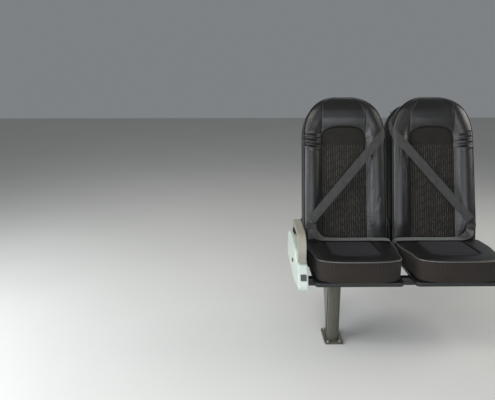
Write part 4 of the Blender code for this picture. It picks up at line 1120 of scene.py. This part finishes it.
# finishes of the carried-over hard parts

hardParts = {
    blackAbs: ("aisle_buckle", "window_buckle", "aisle_belt_guide", "window_belt_guide", "aisle_belt_retractor",
               "window_belt_retractor", "blank_plate", "recline_button"),
    shellAbs: ("aisle_rear_shell", "window_rear_shell", "aisle_magazine_pocket", "window_magazine_pocket"),
    frameCoat: ("aisle_back_frame", "window_back_frame", "aisle_cushion_pan", "window_cushion_pan", "front_beam",
                "rear_beam", "aisle_plate", "wall_plate", "centre_plate", "wall_bracket", "armrest_core",
                "aisle_tongue", "window_tongue"),
    legCoat: ("pedestal_leg", "floor_shoe"),
    mintAbs: ("aisle_cover",),
    padFoam: ("armrest_pad",),
}
for finish, names in hardParts.items():
    for name in names:
        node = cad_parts[name]
        for slot in node.material_slots:
            slot.material = finish
print("stage: hard finishes")


# small hardware

boltShape = {"across": 0.0075, "head": 0.0055, "washer": 0.0095, "washerHeight": 0.0016}
capShape = {
    "pinProfile": ((0.0130, 0.0), (0.0135, 0.0015), (0.0125, 0.0035), (0.0080, 0.0045), (0.0030, 0.0048)),
    "pinY": 0.165, "pinZ": 0.528,
    "screwProfile": ((0.0060, 0.0), (0.0060, 0.0008), (0.0045, 0.0016)), "screwY": 0.255, "screwZ": 0.402,
    "shellProfile": ((0.0070, 0.0), (0.0070, 0.0010), (0.0052, 0.0022)), "shellU": 0.150, "shellSkin": 0.0063,
    "shellHeights": (0.110, 0.480, 0.640),
}
buttonShape = {"half": 0.0115, "low": 0.037, "high": 0.053, "corner": 0.004, "face": -0.0085,
               "rings": ((0.0, 0.0), (0.0010, 0.0), (0.0016, -0.0012), (0.0017, -0.0030))}
slideShape = {"z": 0.742, "overhang": 0.016, "behind": 0.008, "radius": 0.0026,
              "path": ((-0.0010, 0.004, -0.024), (0.0015, -0.001, -0.012), (0.0018, -0.001, 0.004),
                       (-0.0040, 0.004, 0.020))}


def boltParts(place, axis, scale=1.0):
    b = boltShape
    w, h, r = b["washer"] * scale, b["washerHeight"] * scale, b["across"] * scale
    top = (b["head"] + b["washerHeight"]) * scale
    washer = latheParts([(w * 0.94, 0.0), (w, h * 0.3), (w, h * 0.8), (w * 0.93, h)], place, axis)
    head = latheParts([(r, h), (r, top * 0.86), (r * 0.86, top)], place, axis, corners=6)
    return [washer, head]


def addHardware(name, parts, finish, body, sharpAngle=35):
    piece = joined(name, parts, [finish], sharpAngle=sharpAngle)
    fit(piece, body)


shoeLow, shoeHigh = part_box("floor_shoe")
parts = []
for x in (shoeLow.x + 0.018, shoeHigh.x - 0.018):
    for y in (shoeLow.y + 0.010, shoeHigh.y - 0.014):
        if abs(y) > 0.05:
            parts += boltParts((x, y, shoeHigh.z), (0, 0, 1), 0.9)
addHardware("shoeBolts", parts, zincSteel, "seat_frame")

bracketLow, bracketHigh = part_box("wall_bracket")
parts = []
for y in (bracketLow.y + 0.045, (bracketLow.y + bracketHigh.y) / 2, bracketHigh.y - 0.045):
    parts += boltParts(((bracketLow.x + bracketHigh.x) / 2, y, bracketHigh.z), (0, 0, 1), 1.1)
addHardware("bracketBolts", parts, zincSteel, "seat_frame")

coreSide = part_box("armrest_core")[0].x
cap = latheParts(capShape["pinProfile"], (coreSide - 0.0002, capShape["pinY"], capShape["pinZ"]), (-1, 0, 0))
addHardware("armrestPinCap", [cap], blackAbs, "armrest", 60)

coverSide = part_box("aisle_cover")[0].x
cap = latheParts(capShape["screwProfile"], (coverSide + 0.0003, capShape["screwY"], capShape["screwZ"]), (-1, 0, 0))
addHardware("coverScrewCap", [cap], mintAbs, "seat_frame", 60)

for name, seat in seats.items():
    side = seat["inner"]
    place = backPlace(seat["x"])
    b = beltShape
    # red release button let into the buckle's front, low on its face
    foot = Vector((seat["x"] + side * b["buckleU"], b["buckleFootY"], b["buckleFootZ"]))
    turn = Matrix.Translation(foot) @ Matrix.Rotation(b["buckleTilt"], 4, "X")
    rings = []
    for depth, grow in buttonShape["rings"]:
        half, low, high = (buttonShape["half"] + grow, buttonShape["low"] - grow, buttonShape["high"] + grow)
        corners = [(-half, low), (half, low), (half, high), (-half, high)]
        ring = []
        for i, (x, z) in enumerate(corners):  # cut corners
            before, after = corners[i - 1], corners[(i + 1) % 4]
            for other in (before, after):
                line = Vector((other[0] - x, other[1] - z)).normalized() * buttonShape["corner"]
                ring.append(turn @ Vector((x + line.x, buttonShape["face"] - depth, z + line.y)))
        rings.append(ring)
    button = loft(f"{name}ReleaseButton", rings, [redAbs], sharpAngle=30)
    fit(button, "seat_frame")
    # chromed slide on the belt guide, where the webbing comes through
    z = slideShape["z"]
    outer, y = halfWidth(z) + slideShape["overhang"], squeezed(backShape["rear"], z) + slideShape["behind"]
    path = [tuple(place @ Vector((side * (outer + a), y + b, z + c))) for a, b, c in slideShape["path"]]
    slide = loft(f"{name}GuideSlide", tubeRings(smoothLine(path, 6), slideShape["radius"], 10), [brightSteel])
    fit(slide, f"{name}_back")
    # screw caps on the rear shell
    parts = []
    for u in (-capShape["shellU"], capShape["shellU"]):
        for z in capShape["shellHeights"]:
            at = place @ Vector((u, backShape["rear"] + capShape["shellSkin"], z))
            parts.append(latheParts(capShape["shellProfile"], at, place.to_3x3() @ Vector((0, 1, 0))))
    addHardware(f"{name}ShellCaps", parts, blackAbs, f"{name}_back", 60)
print("stage: hardware")


# floor, camera and light

stageShape = {"size": 9.0, "camera": (-0.471, -2.505, 1.438), "tiltDown": 15.68, "pan": -0.86, "lens": 39.636}

half = stageShape["size"]
corners = [(x * half, y * half, 0) for x, y in ((-1, -1), (1, -1), (1, 1), (-1, 1))]
floor = addMesh("studioFloor", corners, [(0, 1, 2, 3)], [studioPaint], smooth=False)

camera = bpy.data.objects.new("viewCamera", bpy.data.cameras.new("viewCamera"))
bpy.context.scene.collection.objects.link(camera)
camera.location = stageShape["camera"]
camera.rotation_euler = (math.radians(90 - stageShape["tiltDown"]), 0, math.radians(stageShape["pan"]))
camera.data.sensor_width = 36
camera.data.sensor_fit = "HORIZONTAL"
camera.data.lens = stageShape["lens"]
bpy.context.scene.camera = camera

lamps = {
    # place, aimed at, width and height, power, colour
    "frontWindow": ((-0.2, -3.6, 1.50), (0.25, 0.3, 0.8), (2.8, 2.0), 88, "#F1F5FA"),
    "leftWindows": ((-2.9, -0.7, 1.40), (0.1, 0.3, 0.8), (2.6, 1.6), 98, "#E9EEF5"),
    "leftSkylight": ((-1.9, -0.5, 3.1), (0.1, 0.3, 0.9), (1.3, 0.8), 34, "#F4F0E6"),
    "rightWindows": ((2.9, 0.5, 1.9), (0.4, 0.3, 0.8), (1.5, 1.2), 42, "#F6F4EE"),
    "behindGlow": ((0.6, 3.2, 2.3), (0.3, 0.2, 0.9), (2.4, 0.8), 4, "#FFFFFF"),
}
for name, (place, target, size, power, colour) in lamps.items():
    lamp = bpy.data.lights.new(name, "AREA")
    lamp.shape = "RECTANGLE"
    lamp.size, lamp.size_y = size
    lamp.energy = power
    lamp.color = linearColour(colour)[:3]
    holder = bpy.data.objects.new(name, lamp)
    bpy.context.scene.collection.objects.link(holder)
    holder.location = place
    holder.visible_camera = False
    holder.rotation_euler = (Vector(target) - Vector(place)).to_track_quat("-Z", "Y").to_euler()

sky = bpy.data.worlds.new("paleStudio")
sky.use_nodes = True
sky.node_tree.nodes["Background"].inputs["Color"].default_value = linearColour("#DADFE4")
sky.node_tree.nodes["Background"].inputs["Strength"].default_value = 0.30
bpy.context.scene.world = sky
bpy.context.scene.view_settings.view_transform = "Standard"
print("stage: floor, camera and light")
